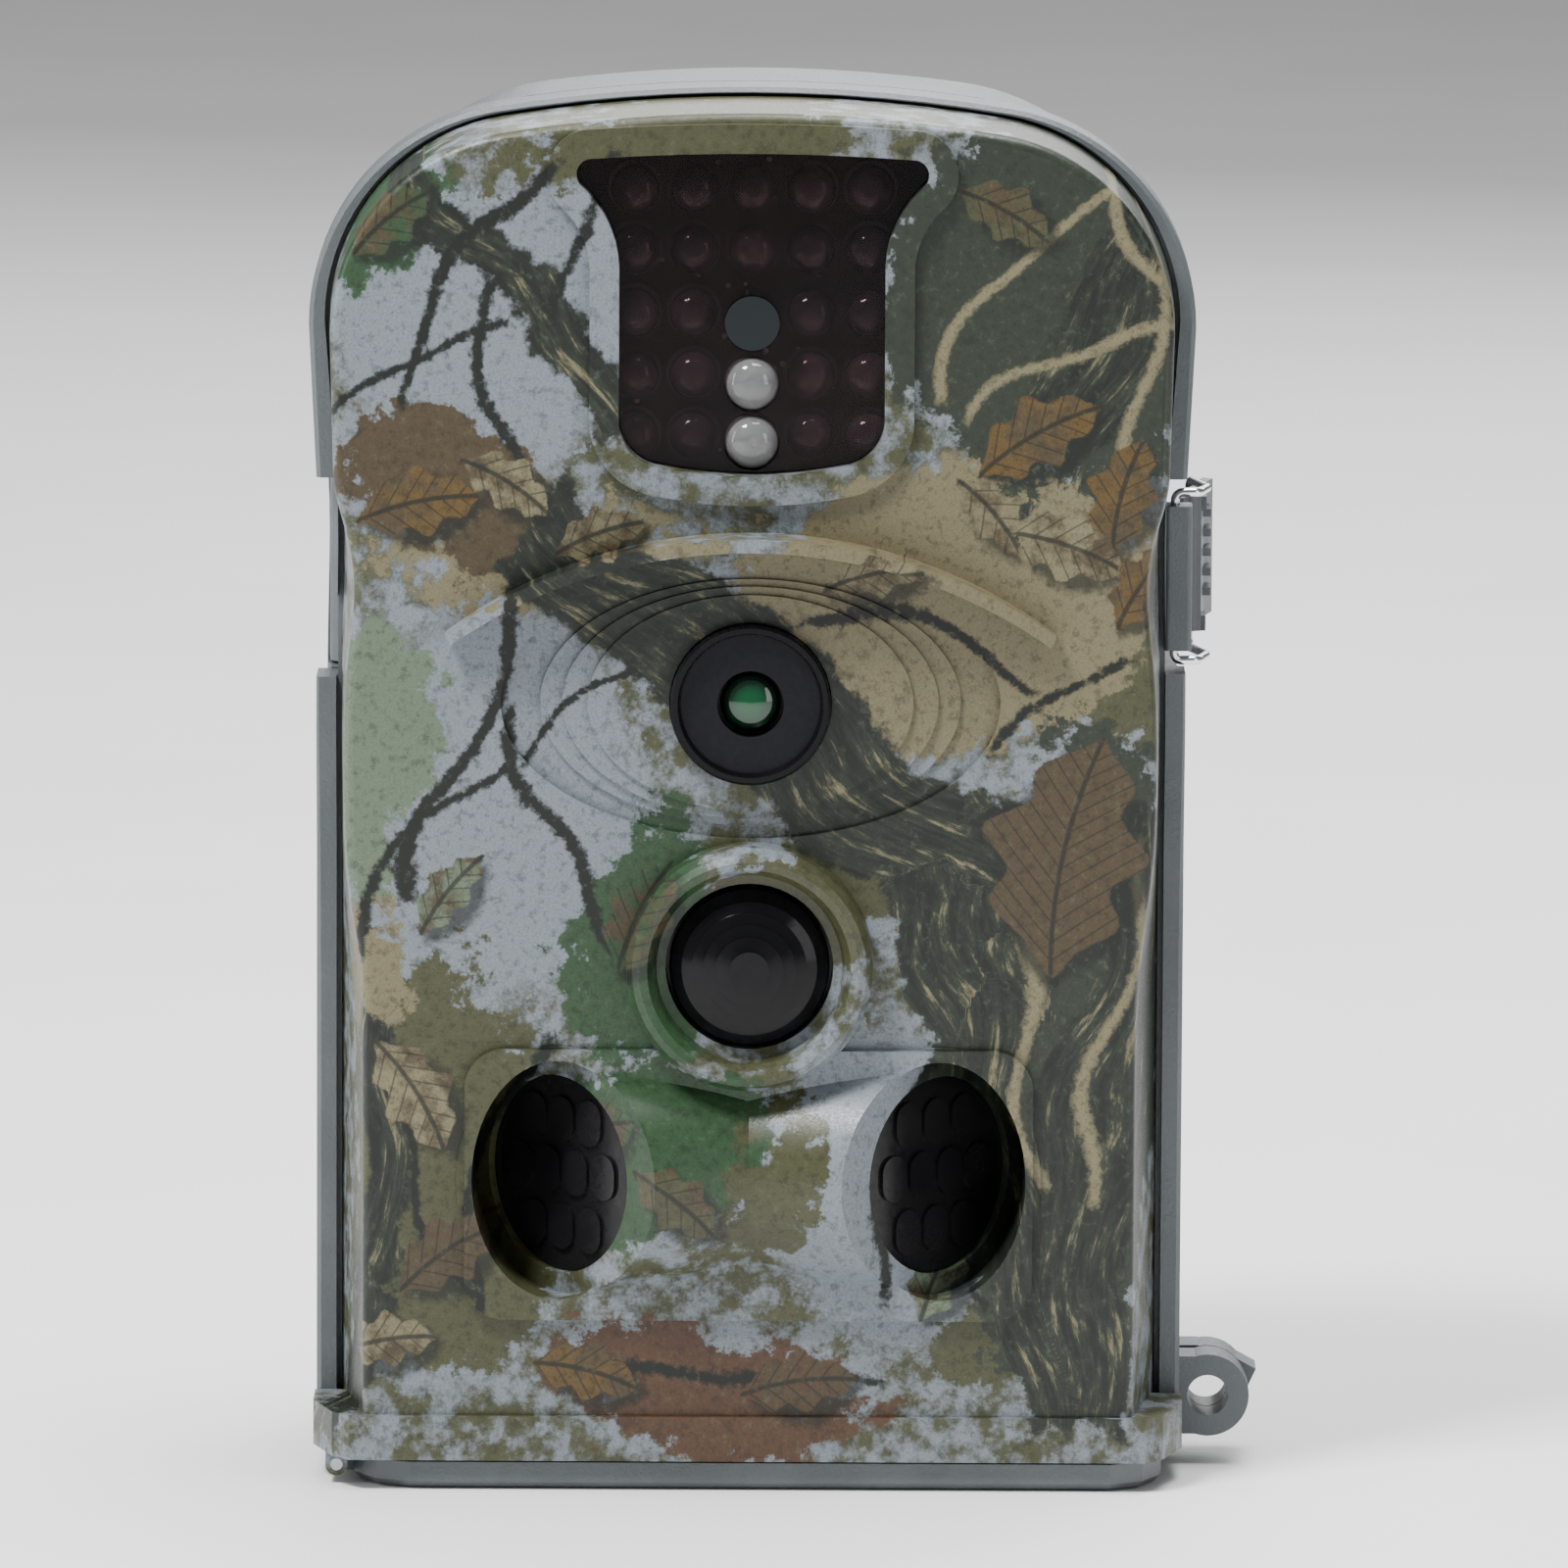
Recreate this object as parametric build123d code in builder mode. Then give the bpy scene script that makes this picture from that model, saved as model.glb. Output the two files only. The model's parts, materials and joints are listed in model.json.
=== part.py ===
from build123d import *
import os
from math import atan2, cos, sin, sqrt, radians

os.makedirs("parts", exist_ok=True)

# ---------------------------------------------------------------- driving dimensions (mm)
# frame: +X to the viewer's right, the lens looks along -Y, +Z up, bottom face at z = 0
RIM_LOW = 43.3          # half width of the grey rim, lower part
RIM_TOP = 44.1          # half width of the rim at the shoulders
RIM_CORNER = 22.0       # shoulder radius
RIM_CROWN = 138.8       # height of the rim
CROWN_R = 157.0         # radius of the bowed top

FACE_Y = -22.0          # flat face of the front cover
COVER_Y = -6.5          # where the cover lands on the frame
FRAME_FRONT = -8.5      # front edge of the rim
FRAME_BACK = -2.15      # mating plane of the front half
REAR_FRONT = -1.85      # mating plane of the rear half
REAR_BACK = 21.5        # rear wall
RAIL_BACK = 28.0        # back of the tree-grip rails
SKIN = 2.0              # wall thickness of the cover
WALL = 2.2              # wall thickness of the rear housing
BAND_BOTTOM = 2.9       # underside of the front half
FOOT_TRIM = 0.5         # trimmed off the lofted foot

HINGE_X = -40.2         # side hinge axis
HINGE_Y = 0.65
PIN_R = 1.0
KNUCKLE_LOW = 80.1      # centre knuckle, on the rear housing
KNUCKLE_HIGH = 99.1
ARM_LOW = 76.0          # hinge arms, on the front frame
ARM_HIGH = 103.5
RECESS_LOW = 79.6       # gap in the rim that shows the knuckle
RECESS_HIGH = 99.6

BAIL_X = 42.2           # pivot of the latch wire
BAIL_Y = -6.0
BAR_X = 43.9            # crossbar of the wire, pivot of the lever
BAR_Y = 4.0
WIRE_R = 0.45
WIRE_LOW = 81.3
WIRE_HIGH = 98.2
LATCH_LOW = 80.0
LATCH_HIGH = 99.8

LUG_X = 46.2            # padlock eye
LUG_Z = 6.87
LUG_R = 4.15
EYE_R = 2.05

LENS_Z = 79.1           # camera axis
PIR_Z = 52.9            # main motion sensor axis
SIDE_X = 19.0           # side sensor windows
SIDE_Z = 31.3
SIDE_Y = -18.9
BARREL_R = 12.0         # side sensor barrels
BARREL_LEAN = 15.0      # lean of each barrel out of the face plane
WINDOW_TURN = 45.0      # each side window looks this far outward
SIDE_WINDOW_R = 9.9
PAD_Y = -23.0           # raised pad round the side barrels

LED_PITCH_X = 5.8
LED_ROWS = (129.5, 123.5, 117.2, 111.0, 105.0)

CELL_R = 7.1
CELL_LENGTH = 49.2
CELL_PITCH = 16.0
CELL_Y = 10.2
TRAY_LOW = 10.5
ROW_PITCH = 57.0

DOOR_TOP = 2.6
DOOR_PIN_X = -41.0
DOOR_PIN_Z = 1.7
DOOR_KNUCKLES = (-16.5, -9.0)   # back faces of the two fixed door knuckles
DOOR_KNUCKLE_LONG = 2.4

PANEL_LOW = 8.6         # control panel in the bottom bay
PANEL_HIGH = 10.2
KEY_X = -17.0
KEY_Y = -13.6
KEY_STEP = 4.1
MENU_X = -27.0
SWITCH_X = -3.5


# ---------------------------------------------------------------- shared outlines
def facing(y):
    """Plane at depth y that looks out of the front of the camera."""
    return Plane.XZ.offset(-y)


def arch(bottom, low, top, corner, crown, crown_r, flank=None):
    """Casing outline: flat foot, near-upright flanks, round shoulders and a bowed crown."""
    corner_x = top - corner
    reach = crown_r - corner
    crown_z = crown - crown_r
    corner_z = crown_z + sqrt(reach**2 - corner_x**2)
    tangent = (
        corner_x + corner * corner_x / reach,
        corner_z + corner * (corner_z - crown_z) / reach,
    )
    lean = atan2(tangent[1] - corner_z, tangent[0] - corner_x)
    middle = (corner_x + corner * cos(lean / 2), corner_z + corner * sin(lean / 2))
    if flank is None:
        flank = ((low, 47.0), (low, 65.0), (low, 83.0), (low + 0.05, 99.8))
    with BuildSketch() as outline:
        with BuildLine():
            Line((low, bottom), flank[0])
            Spline(*flank, tangents=((0, 1), (0.08, 1)))
            Line(flank[-1], (top, corner_z))
            ThreePointArc((top, corner_z), middle, tangent)
            ThreePointArc(tangent, (0, crown), (-tangent[0], tangent[1]))
            ThreePointArc((-tangent[0], tangent[1]), (-middle[0], middle[1]), (-top, corner_z))
            Line((-top, corner_z), (-flank[-1][0], flank[-1][1]))
            Spline(*[(-x, z) for x, z in reversed(flank)], tangents=((0.08, -1), (0, -1)))
            Line((-flank[0][0], flank[0][1]), (-low, bottom))
            Line((-low, bottom), (low, bottom))
        make_face()
    return outline.sketch


def window_outline(grow):
    """Infrared window: wide head, narrow straight body, rounded foot."""
    with BuildSketch() as outline:
        with BuildLine():
            head = ThreePointArc((-16.2, 133.1), (0, 133.7), (16.2, 133.1))
            right_top = ThreePointArc(head @ 1, (17.3, 131.9), (17.0, 130.6))
            right_neck = ThreePointArc((17.0, 130.6), (14.2, 126.9), (13.1, 122.5))
            right_side = Line(right_neck @ 1, (13.1, 107.0))
            right_foot = ThreePointArc(right_side @ 1, (11.9, 104.1), (9.0, 102.6))
            ThreePointArc(right_foot @ 1, (0, 101.7), (-9.0, 102.6))
            left_foot = ThreePointArc((-9.0, 102.6), (-11.9, 104.1), (-13.1, 107.0))
            left_side = Line(left_foot @ 1, (-13.1, 122.5))
            ThreePointArc(left_side @ 1, (-14.2, 126.9), (-17.0, 130.6))
            ThreePointArc((-17.0, 130.6), (-17.3, 131.9), head @ 0)
        make_face()
        if grow:
            offset(amount=grow)
    return outline.sketch


FACE_FLANK = (
    (38.2, 47.0), (39.0, 56.0), (39.9, 63.0), (40.2, 72.0),
    (39.8, 82.5), (39.1, 90.5), (39.7, 95.0), (41.3, 101.5),
)
INNER_FLANK = tuple((x - SKIN, z) for x, z in FACE_FLANK)
TURN = radians(WINDOW_TURN)
LEAN = radians(BARREL_LEAN)
SENSOR_SIDES = (-1, 1)

# ---------------------------------------------------------------- rear half
RAIL_X = 30.0
RAIL_WIDE = 8.0
RAIL_LOW = 22.0
RAIL_HIGH = 118.0
STRAP_Z = 70.5
STRAP_HIGH = 27.0
STRAP_DEEP = 4.6
TRIPOD_Y = 12.0
BOSS_R = 7.0
INSERT_R = 4.5
INSERT_LONG = 8.0
SOCKET_R = 2.6          # minor radius of the 1/4 in tripod thread
TRAY_SCREWS = [(-16.0, 68.0), (16.0, 68.0), (-16.0, 22.0), (16.0, 22.0)]

with BuildPart() as rear_housing:
    with BuildSketch(facing(REAR_FRONT)):
        add(arch(-FOOT_TRIM, 42.7, 42.7, 24.0, RIM_CROWN, CROWN_R))
    with BuildSketch(facing(REAR_BACK)):
        add(arch(-FOOT_TRIM, 41.9, 41.9, 24.5, RIM_CROWN - 0.9, CROWN_R))
    loft()
    # trimmed to a truly flat foot
    with BuildSketch(Plane.XY):
        Rectangle(4 * RIM_TOP, 4 * RIM_TOP)
    extrude(amount=-2 * FOOT_TRIM, mode=Mode.SUBTRACT)
    fillet(rear_housing.edges().group_by(Axis.Y)[-1], 2.5)
    # hollow, with a flange left round the mouth
    with BuildSketch(facing(REAR_BACK - WALL)):
        add(arch(WALL, 39.4, 39.4, 21.5, RIM_CROWN - 3.6, CROWN_R))
    extrude(amount=REAR_BACK - WALL - 0.15, mode=Mode.SUBTRACT)
    with BuildSketch(facing(0.2)):
        add(arch(9.9, 35.7, 36.5, 14.4, RIM_CROWN - 7.6, CROWN_R - 7.6))
    extrude(amount=3.0, mode=Mode.SUBTRACT)
    # column that carries the side hinge, rounded about the hinge axis
    with BuildSketch(Plane.XY.offset(74.5)):
        with Locations((-39.5, 1.2)):
            Rectangle(4.4, 6.0)
    extrude(amount=31.0)
    with BuildSketch(Plane.XY.offset(-1.0)):
        with Locations((HINGE_X - 2.0, HINGE_Y - 1.6)):
            Rectangle(4.0, 3.2)
        with Locations((HINGE_X, HINGE_Y)):
            Circle(2.5, mode=Mode.SUBTRACT)
    extrude(amount=142.0, mode=Mode.SUBTRACT)
    with BuildSketch(Plane.XY.offset(RECESS_LOW)):
        with Locations((HINGE_X - 2.0, HINGE_Y - 1.0)):
            Rectangle(4.0, 7.0)
        with Locations((HINGE_X + 2.0, HINGE_Y - 2.3)):
            Rectangle(8.0, 0.6)
        with Locations((HINGE_X, HINGE_Y)):
            Circle(2.0, mode=Mode.SUBTRACT)
        with Locations((HINGE_X - 1.0, HINGE_Y + 2.0)):
            Rectangle(2.0, 4.0, mode=Mode.SUBTRACT)
    extrude(amount=RECESS_HIGH - RECESS_LOW, mode=Mode.SUBTRACT)
    for low, high in ((ARM_LOW - 0.3, KNUCKLE_LOW), (KNUCKLE_HIGH, ARM_HIGH + 0.3)):
        with BuildSketch(Plane.XY.offset(low)):
            with Locations((HINGE_X - 0.7, HINGE_Y)):
                Rectangle(6.6, 5.4)
        extrude(amount=high - low, mode=Mode.SUBTRACT)
    with BuildSketch(Plane.XY.offset(ARM_LOW)):
        with Locations((HINGE_X, HINGE_Y)):
            Circle(PIN_R + 0.05)
    extrude(amount=ARM_HIGH - ARM_LOW, mode=Mode.SUBTRACT)
    # latch bay on the other side: backing pad, recess and catch rib
    with BuildSketch(Plane.XY.offset(LATCH_LOW - 2.0)):
        with Locations((39.6, 9.6)):
            Rectangle(2.6, 22.8)
    extrude(amount=LATCH_HIGH - LATCH_LOW + 4.0)
    with BuildSketch(Plane.XY.offset(LATCH_LOW)):
        with Locations((43.2, 8.6)):
            Rectangle(4.0, 21.4)
    extrude(amount=LATCH_HIGH - LATCH_LOW, mode=Mode.SUBTRACT)
    with BuildSketch(Plane.XY.offset(84.0)):
        with Locations((42.1, 1.05)):
            Rectangle(2.6, 1.5)
    extrude(amount=11.5)
    # padlock lug with its small thumb nib
    with BuildSketch(facing(3.0)):
        with Locations((LUG_X, LUG_Z)):
            Circle(LUG_R)
        with Locations((43.6, LUG_Z)):
            Rectangle(3.6, 2 * LUG_R)
        with BuildLine():
            Polyline((49.0, 9.8), (51.2, 8.6), (50.0, 6.0), (49.0, 9.8))
        make_face()
        with Locations((LUG_X, LUG_Z)):
            Circle(EYE_R, mode=Mode.SUBTRACT)
    extrude(amount=3.0 - REAR_FRONT)
    # tree-grip rails with strap slots and a saw-tooth bite
    with BuildSketch(Plane.YZ.offset(-RAIL_X - RAIL_WIDE / 2)):
        with BuildLine():
            Polyline(
                (REAR_BACK - 1.0, RAIL_LOW), (RAIL_BACK - 2.0, RAIL_LOW + 2.0),
                (RAIL_BACK, RAIL_LOW + 6.0), (RAIL_BACK, RAIL_HIGH - 6.0),
                (RAIL_BACK - 2.0, RAIL_HIGH - 2.0), (REAR_BACK - 1.0, RAIL_HIGH),
                (REAR_BACK - 1.0, RAIL_LOW),
            )
        make_face()
        with Locations((REAR_BACK + 0.3 + STRAP_DEEP / 2, STRAP_Z)):
            Rectangle(STRAP_DEEP, STRAP_HIGH, mode=Mode.SUBTRACT)
        with Locations([(RAIL_BACK, 31.0 + 5.0 * n) for n in range(5)]):
            RegularPolygon(1.6, 4, mode=Mode.SUBTRACT)
        with Locations([(RAIL_BACK, 90.0 + 5.0 * n) for n in range(5)]):
            RegularPolygon(1.6, 4, mode=Mode.SUBTRACT)
    rail = extrude(amount=RAIL_WIDE)
    mirror(rail, about=Plane.YZ)
    # boss for the tripod insert, pillars for the tray screws
    with BuildSketch(Plane.XY.offset(1.0)):
        with Locations((0, TRIPOD_Y)):
            Circle(BOSS_R)
    extrude(amount=8.6)
    with BuildSketch(Plane.XY):
        with Locations((0, TRIPOD_Y)):
            Circle(INSERT_R)
    extrude(amount=INSERT_LONG, mode=Mode.SUBTRACT)
    with BuildSketch(facing(REAR_BACK - 1.0)):
        with Locations(TRAY_SCREWS):
            Circle(0.8)
    extrude(amount=4.0, mode=Mode.SUBTRACT)
rear_housing.part.label = "rear_housing"
export_step(rear_housing.part, "parts/rear_housing.step")

with BuildPart() as tripod_insert:
    # brass sleeve with a knurled waist; the thread is left plain at its minor radius
    with BuildSketch(Plane.XY.offset(0.1)):
        with Locations((0, TRIPOD_Y)):
            Circle(INSERT_R - 0.02)
            Circle(SOCKET_R, mode=Mode.SUBTRACT)
    extrude(amount=INSERT_LONG - 0.2)
    with BuildSketch(Plane.XY.offset(INSERT_LONG / 2 - 0.4)):
        with Locations((0, TRIPOD_Y)):
            Circle(INSERT_R + 0.5)
            Circle(INSERT_R - 0.6, mode=Mode.SUBTRACT)
    extrude(amount=0.8, mode=Mode.SUBTRACT)
tripod_insert.part.label = "tripod_insert"
export_step(tripod_insert.part, "parts/tripod_insert.step")

TRAY_HALF = 33.5
TRAY_FRONT = 0.6
TRAY_BACK = 19.2
TROUGH_R = 7.4
TROUGH_LONG = 54.0
CELL_COLUMNS = [CELL_PITCH * (n - 1.5) for n in range(4)]
CELL_FOOTS = [TRAY_LOW + 1.5, TRAY_LOW + 1.5 + ROW_PITCH]
TERMINAL_Z = TRAY_LOW + 2 * ROW_PITCH + 2.2
PLUNGER_SPOTS = [(-4.0, TERMINAL_Z), (4.0, TERMINAL_Z)]

with BuildPart() as battery_tray:
    with BuildSketch(facing(TRAY_BACK)):
        with Locations((0, TRAY_LOW + ROW_PITCH)):
            RectangleRounded(2 * TRAY_HALF, 2 * ROW_PITCH, 2.0)
    extrude(amount=TRAY_BACK - TRAY_FRONT)
    for foot in CELL_FOOTS:
        with BuildSketch(Plane.XY.offset(foot)):
            with Locations([(x, CELL_Y) for x in CELL_COLUMNS]):
                Circle(TROUGH_R)
            with Locations([(x, (CELL_Y + TRAY_FRONT - 1.0) / 2) for x in CELL_COLUMNS]):
                Rectangle(2 * TROUGH_R, CELL_Y - TRAY_FRONT + 1.0)
        extrude(amount=TROUGH_LONG, mode=Mode.SUBTRACT)
    # terminal block with the two plunger bores
    with BuildSketch(facing(TRAY_BACK)):
        with Locations((0, TERMINAL_Z)):
            Rectangle(16.0, 5.6)
    extrude(amount=TRAY_BACK - TRAY_FRONT)
    with BuildSketch(facing(TRAY_FRONT + 8.0)):
        with Locations(PLUNGER_SPOTS):
            Circle(1.25)
    extrude(amount=10.0, mode=Mode.SUBTRACT)
    with BuildSketch(facing(TRAY_BACK + 1.0)):
        with Locations(TRAY_SCREWS):
            Circle(0.95)
    extrude(amount=TRAY_BACK - TRAY_FRONT + 2.0, mode=Mode.SUBTRACT)
battery_tray.part.label = "battery_tray"
export_step(battery_tray.part, "parts/battery_tray.step")

with BuildPart() as battery_cells:
    for foot in CELL_FOOTS:
        with BuildSketch(Plane.XY.offset(foot + 2.6)):
            with Locations([(x, CELL_Y) for x in CELL_COLUMNS]):
                Circle(CELL_R)
        extrude(amount=CELL_LENGTH)
        with BuildSketch(Plane.XY.offset(foot + 2.6 + CELL_LENGTH)):
            with Locations([(x, CELL_Y) for x in CELL_COLUMNS]):
                Circle(2.7)
        extrude(amount=1.1)
battery_cells.part.label = "battery_cells"
export_step(battery_cells.part, "parts/battery_cells.step")

with BuildPart() as coil:
    with BuildLine() as coil_path:
        Helix(pitch=1.0, height=2.0, radius=3.2)
    with BuildSketch(Plane(coil_path.line @ 0, z_dir=coil_path.line % 0)):
        Circle(0.2)
    sweep()

with BuildPart() as battery_springs:
    for foot in CELL_FOOTS:
        with Locations([(x, CELL_Y, foot + 0.3) for x in CELL_COLUMNS]):
            add(coil.part)
battery_springs.part.label = "battery_springs"
export_step(battery_springs.part, "parts/battery_springs.step")

with BuildPart() as battery_contacts:
    for foot in CELL_FOOTS:
        with BuildSketch(Plane.XY.offset(foot + TROUGH_LONG - 0.55)):
            with Locations([(x, CELL_Y) for x in CELL_COLUMNS]):
                Rectangle(9.0, 9.0)
        extrude(amount=0.5)
        with BuildSketch(Plane.XY.offset(foot + TROUGH_LONG - 0.95)):
            with Locations([(x, CELL_Y) for x in CELL_COLUMNS]):
                Circle(1.8)
        extrude(amount=0.5)
battery_contacts.part.label = "battery_contacts"
export_step(battery_contacts.part, "parts/battery_contacts.step")

with BuildPart() as tray_screws:
    with BuildSketch(facing(TRAY_BACK + 1.2)):
        with Locations(TRAY_SCREWS):
            Circle(0.75)
    extrude(amount=TRAY_BACK + 1.2 - TRAY_FRONT)
    with BuildSketch(facing(TRAY_FRONT)):
        with Locations(TRAY_SCREWS):
            Circle(1.6)
    extrude(amount=0.9)
    with BuildSketch(facing(TRAY_FRONT - 0.4)):
        with Locations(TRAY_SCREWS):
            Rectangle(1.9, 0.45)
            Rectangle(0.45, 1.9)
    extrude(amount=1.0, mode=Mode.SUBTRACT)
tray_screws.part.label = "tray_screws"
export_step(tray_screws.part, "parts/tray_screws.step")


with BuildPart() as power_plungers:
    with BuildSketch(facing(TRAY_FRONT + 7.0)):
        with Locations(PLUNGER_SPOTS):
            Circle(1.2)
    extrude(amount=7.4)
    with BuildSketch(facing(TRAY_FRONT)):
        with Locations(PLUNGER_SPOTS):
            Circle(0.8)
    extrude(amount=TRAY_FRONT + 2.0)
power_plungers.part.label = "power_plungers"
export_step(power_plungers.part, "parts/power_plungers.step")

# ---------------------------------------------------------------- front half: frame
COVER_SCREWS = [(-33.0, 30.0), (33.0, 30.0), (-34.0, 90.0), (34.0, 90.0), (-28.5, 121.5), (28.5, 121.5)]
BOARD_SCREWS = [(-26.0, 50.0), (26.0, 50.0), (-26.0, 94.0), (26.0, 94.0)]
BACK_PLATE = 1.8
PLATE_FRONT = FRAME_BACK - BACK_PLATE

with BuildPart() as front_frame:
    with BuildSketch(facing(FRAME_BACK)):
        add(arch(BAND_BOTTOM, RIM_LOW, RIM_TOP, RIM_CORNER, RIM_CROWN, CROWN_R))
    extrude(amount=FRAME_BACK - FRAME_FRONT)
    chamfer(front_frame.edges().group_by(Axis.Y)[0].sort_by(Axis.Z)[1:], 0.45)
    # landing step for the cover, then the cavity behind it
    with BuildSketch(facing(COVER_Y)):
        add(arch(BAND_BOTTOM - 1.0, 41.3, 42.5, 20.9, RIM_CROWN - 0.55, 150.3))
    extrude(amount=4.0, mode=Mode.SUBTRACT)
    with BuildSketch(facing(PLATE_FRONT)):
        add(arch(BAND_BOTTOM - 1.0, 38.6, 38.7, 17.2, RIM_CROWN - 4.8, 146.0))
    extrude(amount=5.0, mode=Mode.SUBTRACT)
    # gap in the rim at the hinge, and the two hinge arms
    with BuildSketch(Plane.XY.offset(RECESS_LOW)):
        with Locations((-43.2, -5.5)):
            Rectangle(4.0, 7.4)
    extrude(amount=RECESS_HIGH - RECESS_LOW, mode=Mode.SUBTRACT)
    for low, high in ((ARM_LOW, KNUCKLE_LOW - 0.3), (KNUCKLE_HIGH + 0.3, ARM_HIGH)):
        with BuildSketch(Plane.XY.offset(low)):
            with Locations((HINGE_X, HINGE_Y)):
                Circle(2.2)
            with Locations((HINGE_X, (HINGE_Y + FRAME_BACK - 0.6) / 2)):
                Rectangle(3.6, HINGE_Y - FRAME_BACK + 0.6)
        extrude(amount=high - low)
    with BuildSketch(Plane.XY.offset(ARM_LOW)):
        with Locations((HINGE_X, HINGE_Y)):
            Circle(PIN_R + 0.01)
    extrude(amount=ARM_HIGH - ARM_LOW, mode=Mode.SUBTRACT)
    # gap in the rim at the latch, and the block that carries the wire
    with BuildSketch(Plane.XY.offset(LATCH_LOW + 0.2)):
        with Locations((43.3, -5.5)):
            Rectangle(4.0, 7.4)
    extrude(amount=LATCH_HIGH - LATCH_LOW - 0.2, mode=Mode.SUBTRACT)
    with BuildSketch(Plane.XY.offset(82.5)):
        with Locations((42.55, -6.2)):
            RectangleRounded(2.7, 3.6, 0.5)
        with Locations((41.6, -4.9)):
            Rectangle(1.2, 1.6)
    extrude(amount=14.5)
    with BuildSketch(Plane.XY.offset(82.0)):
        with Locations((BAIL_X, BAIL_Y)):
            Circle(WIRE_R + 0.05)
    extrude(amount=15.5, mode=Mode.SUBTRACT)
    # padlock lug
    with BuildSketch(facing(FRAME_BACK)):
        with Locations((LUG_X, LUG_Z)):
            Circle(LUG_R)
        with Locations((43.6, LUG_Z)):
            Rectangle(3.6, 2 * LUG_R - 0.4)
        with Locations((LUG_X, LUG_Z)):
            Circle(EYE_R, mode=Mode.SUBTRACT)
    extrude(amount=4.85)
    # gasket groove, screw seats, pad pockets and board pillars
    with BuildSketch(facing(FRAME_BACK)):
        add(arch(8.6, 37.75, 38.5, 16.4, 133.2, 151.4))
        add(arch(9.8, 36.45, 37.2, 15.1, 131.9, 150.1), mode=Mode.SUBTRACT)
    extrude(amount=0.8, mode=Mode.SUBTRACT)
    with BuildSketch(facing(FRAME_BACK)):
        with Locations(COVER_SCREWS):
            Circle(2.35)
    extrude(amount=1.2, mode=Mode.SUBTRACT)
    with BuildSketch(facing(FRAME_BACK)):
        with Locations(COVER_SCREWS):
            Circle(1.4)
    extrude(amount=3.0, mode=Mode.SUBTRACT)
    with BuildSketch(facing(FRAME_BACK)):
        with Locations(PLUNGER_SPOTS):
            Circle(2.55)
    extrude(amount=0.5, mode=Mode.SUBTRACT)
    with BuildSketch(facing(PLATE_FRONT)):
        with Locations(BOARD_SCREWS):
            Circle(2.4)
            Circle(0.8, mode=Mode.SUBTRACT)
    extrude(amount=2.85)
front_frame.part.label = "front_frame"
export_step(front_frame.part, "parts/front_frame.step")

with BuildPart() as seal_gasket:
    with BuildSketch(facing(FRAME_BACK + 0.25)):
        add(arch(8.65, 37.7, 38.45, 16.35, 133.15, 151.35))
        add(arch(9.75, 36.5, 37.25, 15.15, 131.95, 150.15), mode=Mode.SUBTRACT)
    extrude(amount=1.03)
seal_gasket.part.label = "seal_gasket"
export_step(seal_gasket.part, "parts/seal_gasket.step")

with BuildPart() as hinge_pin:
    with BuildSketch(Plane.XY.offset(ARM_LOW + 0.1)):
        with Locations((HINGE_X, HINGE_Y)):
            Circle(PIN_R)
    extrude(amount=ARM_HIGH - ARM_LOW - 0.2)
    chamfer(hinge_pin.edges(), 0.2)
hinge_pin.part.label = "hinge_pin"
export_step(hinge_pin.part, "parts/hinge_pin.step")

with BuildPart() as contact_pads:
    with BuildSketch(facing(FRAME_BACK - 0.02)):
        with Locations(PLUNGER_SPOTS):
            Circle(2.5)
    extrude(amount=0.45)
contact_pads.part.label = "contact_pads"
export_step(contact_pads.part, "parts/contact_pads.step")

# ---------------------------------------------------------------- front half: cover
BARREL_Y = -13.8
WINDOW_PLANE = Plane(origin=(SIDE_X, SIDE_Y, SIDE_Z), z_dir=(sin(TURN), -cos(TURN), 0))
BARREL_PLANE = Plane(origin=(0, BARREL_Y, SIDE_Z), z_dir=(cos(LEAN), -sin(LEAN), 0))

with BuildPart() as brow:
    # thin curved visor over the lens
    with BuildSketch(facing(FACE_Y + 1.0)):
        with BuildLine():
            over = ThreePointArc((-30.2, 86.1), (0, 96.1), (30.2, 86.1))
            under = ThreePointArc((-29.7, 84.9), (0, 94.8), (29.7, 84.9))
            Line(over @ 0, under @ 0)
            Line(over @ 1, under @ 1)
        make_face()
    extrude(amount=9.0)
    with BuildSketch(Plane.XY.offset(80.0)):
        with BuildLine():
            nose = ThreePointArc((-31.5, FACE_Y - 1.6), (0, FACE_Y - 6.0), (31.5, FACE_Y - 1.6))
            Polyline(nose @ 1, (31.5, FACE_Y + 2.0), (-31.5, FACE_Y + 2.0), nose @ 0)
        make_face()
    extrude(amount=20.0, mode=Mode.INTERSECT)

with BuildPart() as barrel:
    with BuildSketch(BARREL_PLANE.offset(-6.0)):
        Circle(BARREL_R)
    extrude(amount=50.0)
    split(bisect_by=WINDOW_PLANE, keep=Keep.BOTTOM)
    split(bisect_by=Plane.YZ, keep=Keep.TOP)
    split(bisect_by=facing(FACE_Y + 1.5), keep=Keep.TOP)

with BuildPart() as barrel_core:
    with BuildSketch(BARREL_PLANE.offset(-6.0)):
        Circle(BARREL_R - SKIN)
    extrude(amount=50.0)
    split(bisect_by=WINDOW_PLANE.offset(-SKIN), keep=Keep.BOTTOM)
    split(bisect_by=Plane.YZ.offset(-0.01), keep=Keep.TOP)

with BuildPart() as side_socket:
    # oval well behind each side window
    with BuildSketch(facing(FACE_Y - 0.4)):
        with Locations((SIDE_X, SIDE_Z)):
            Ellipse(10.0, 13.4)
    extrude(amount=-18.0)
    split(bisect_by=WINDOW_PLANE.offset(-SKIN), keep=Keep.TOP)

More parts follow.
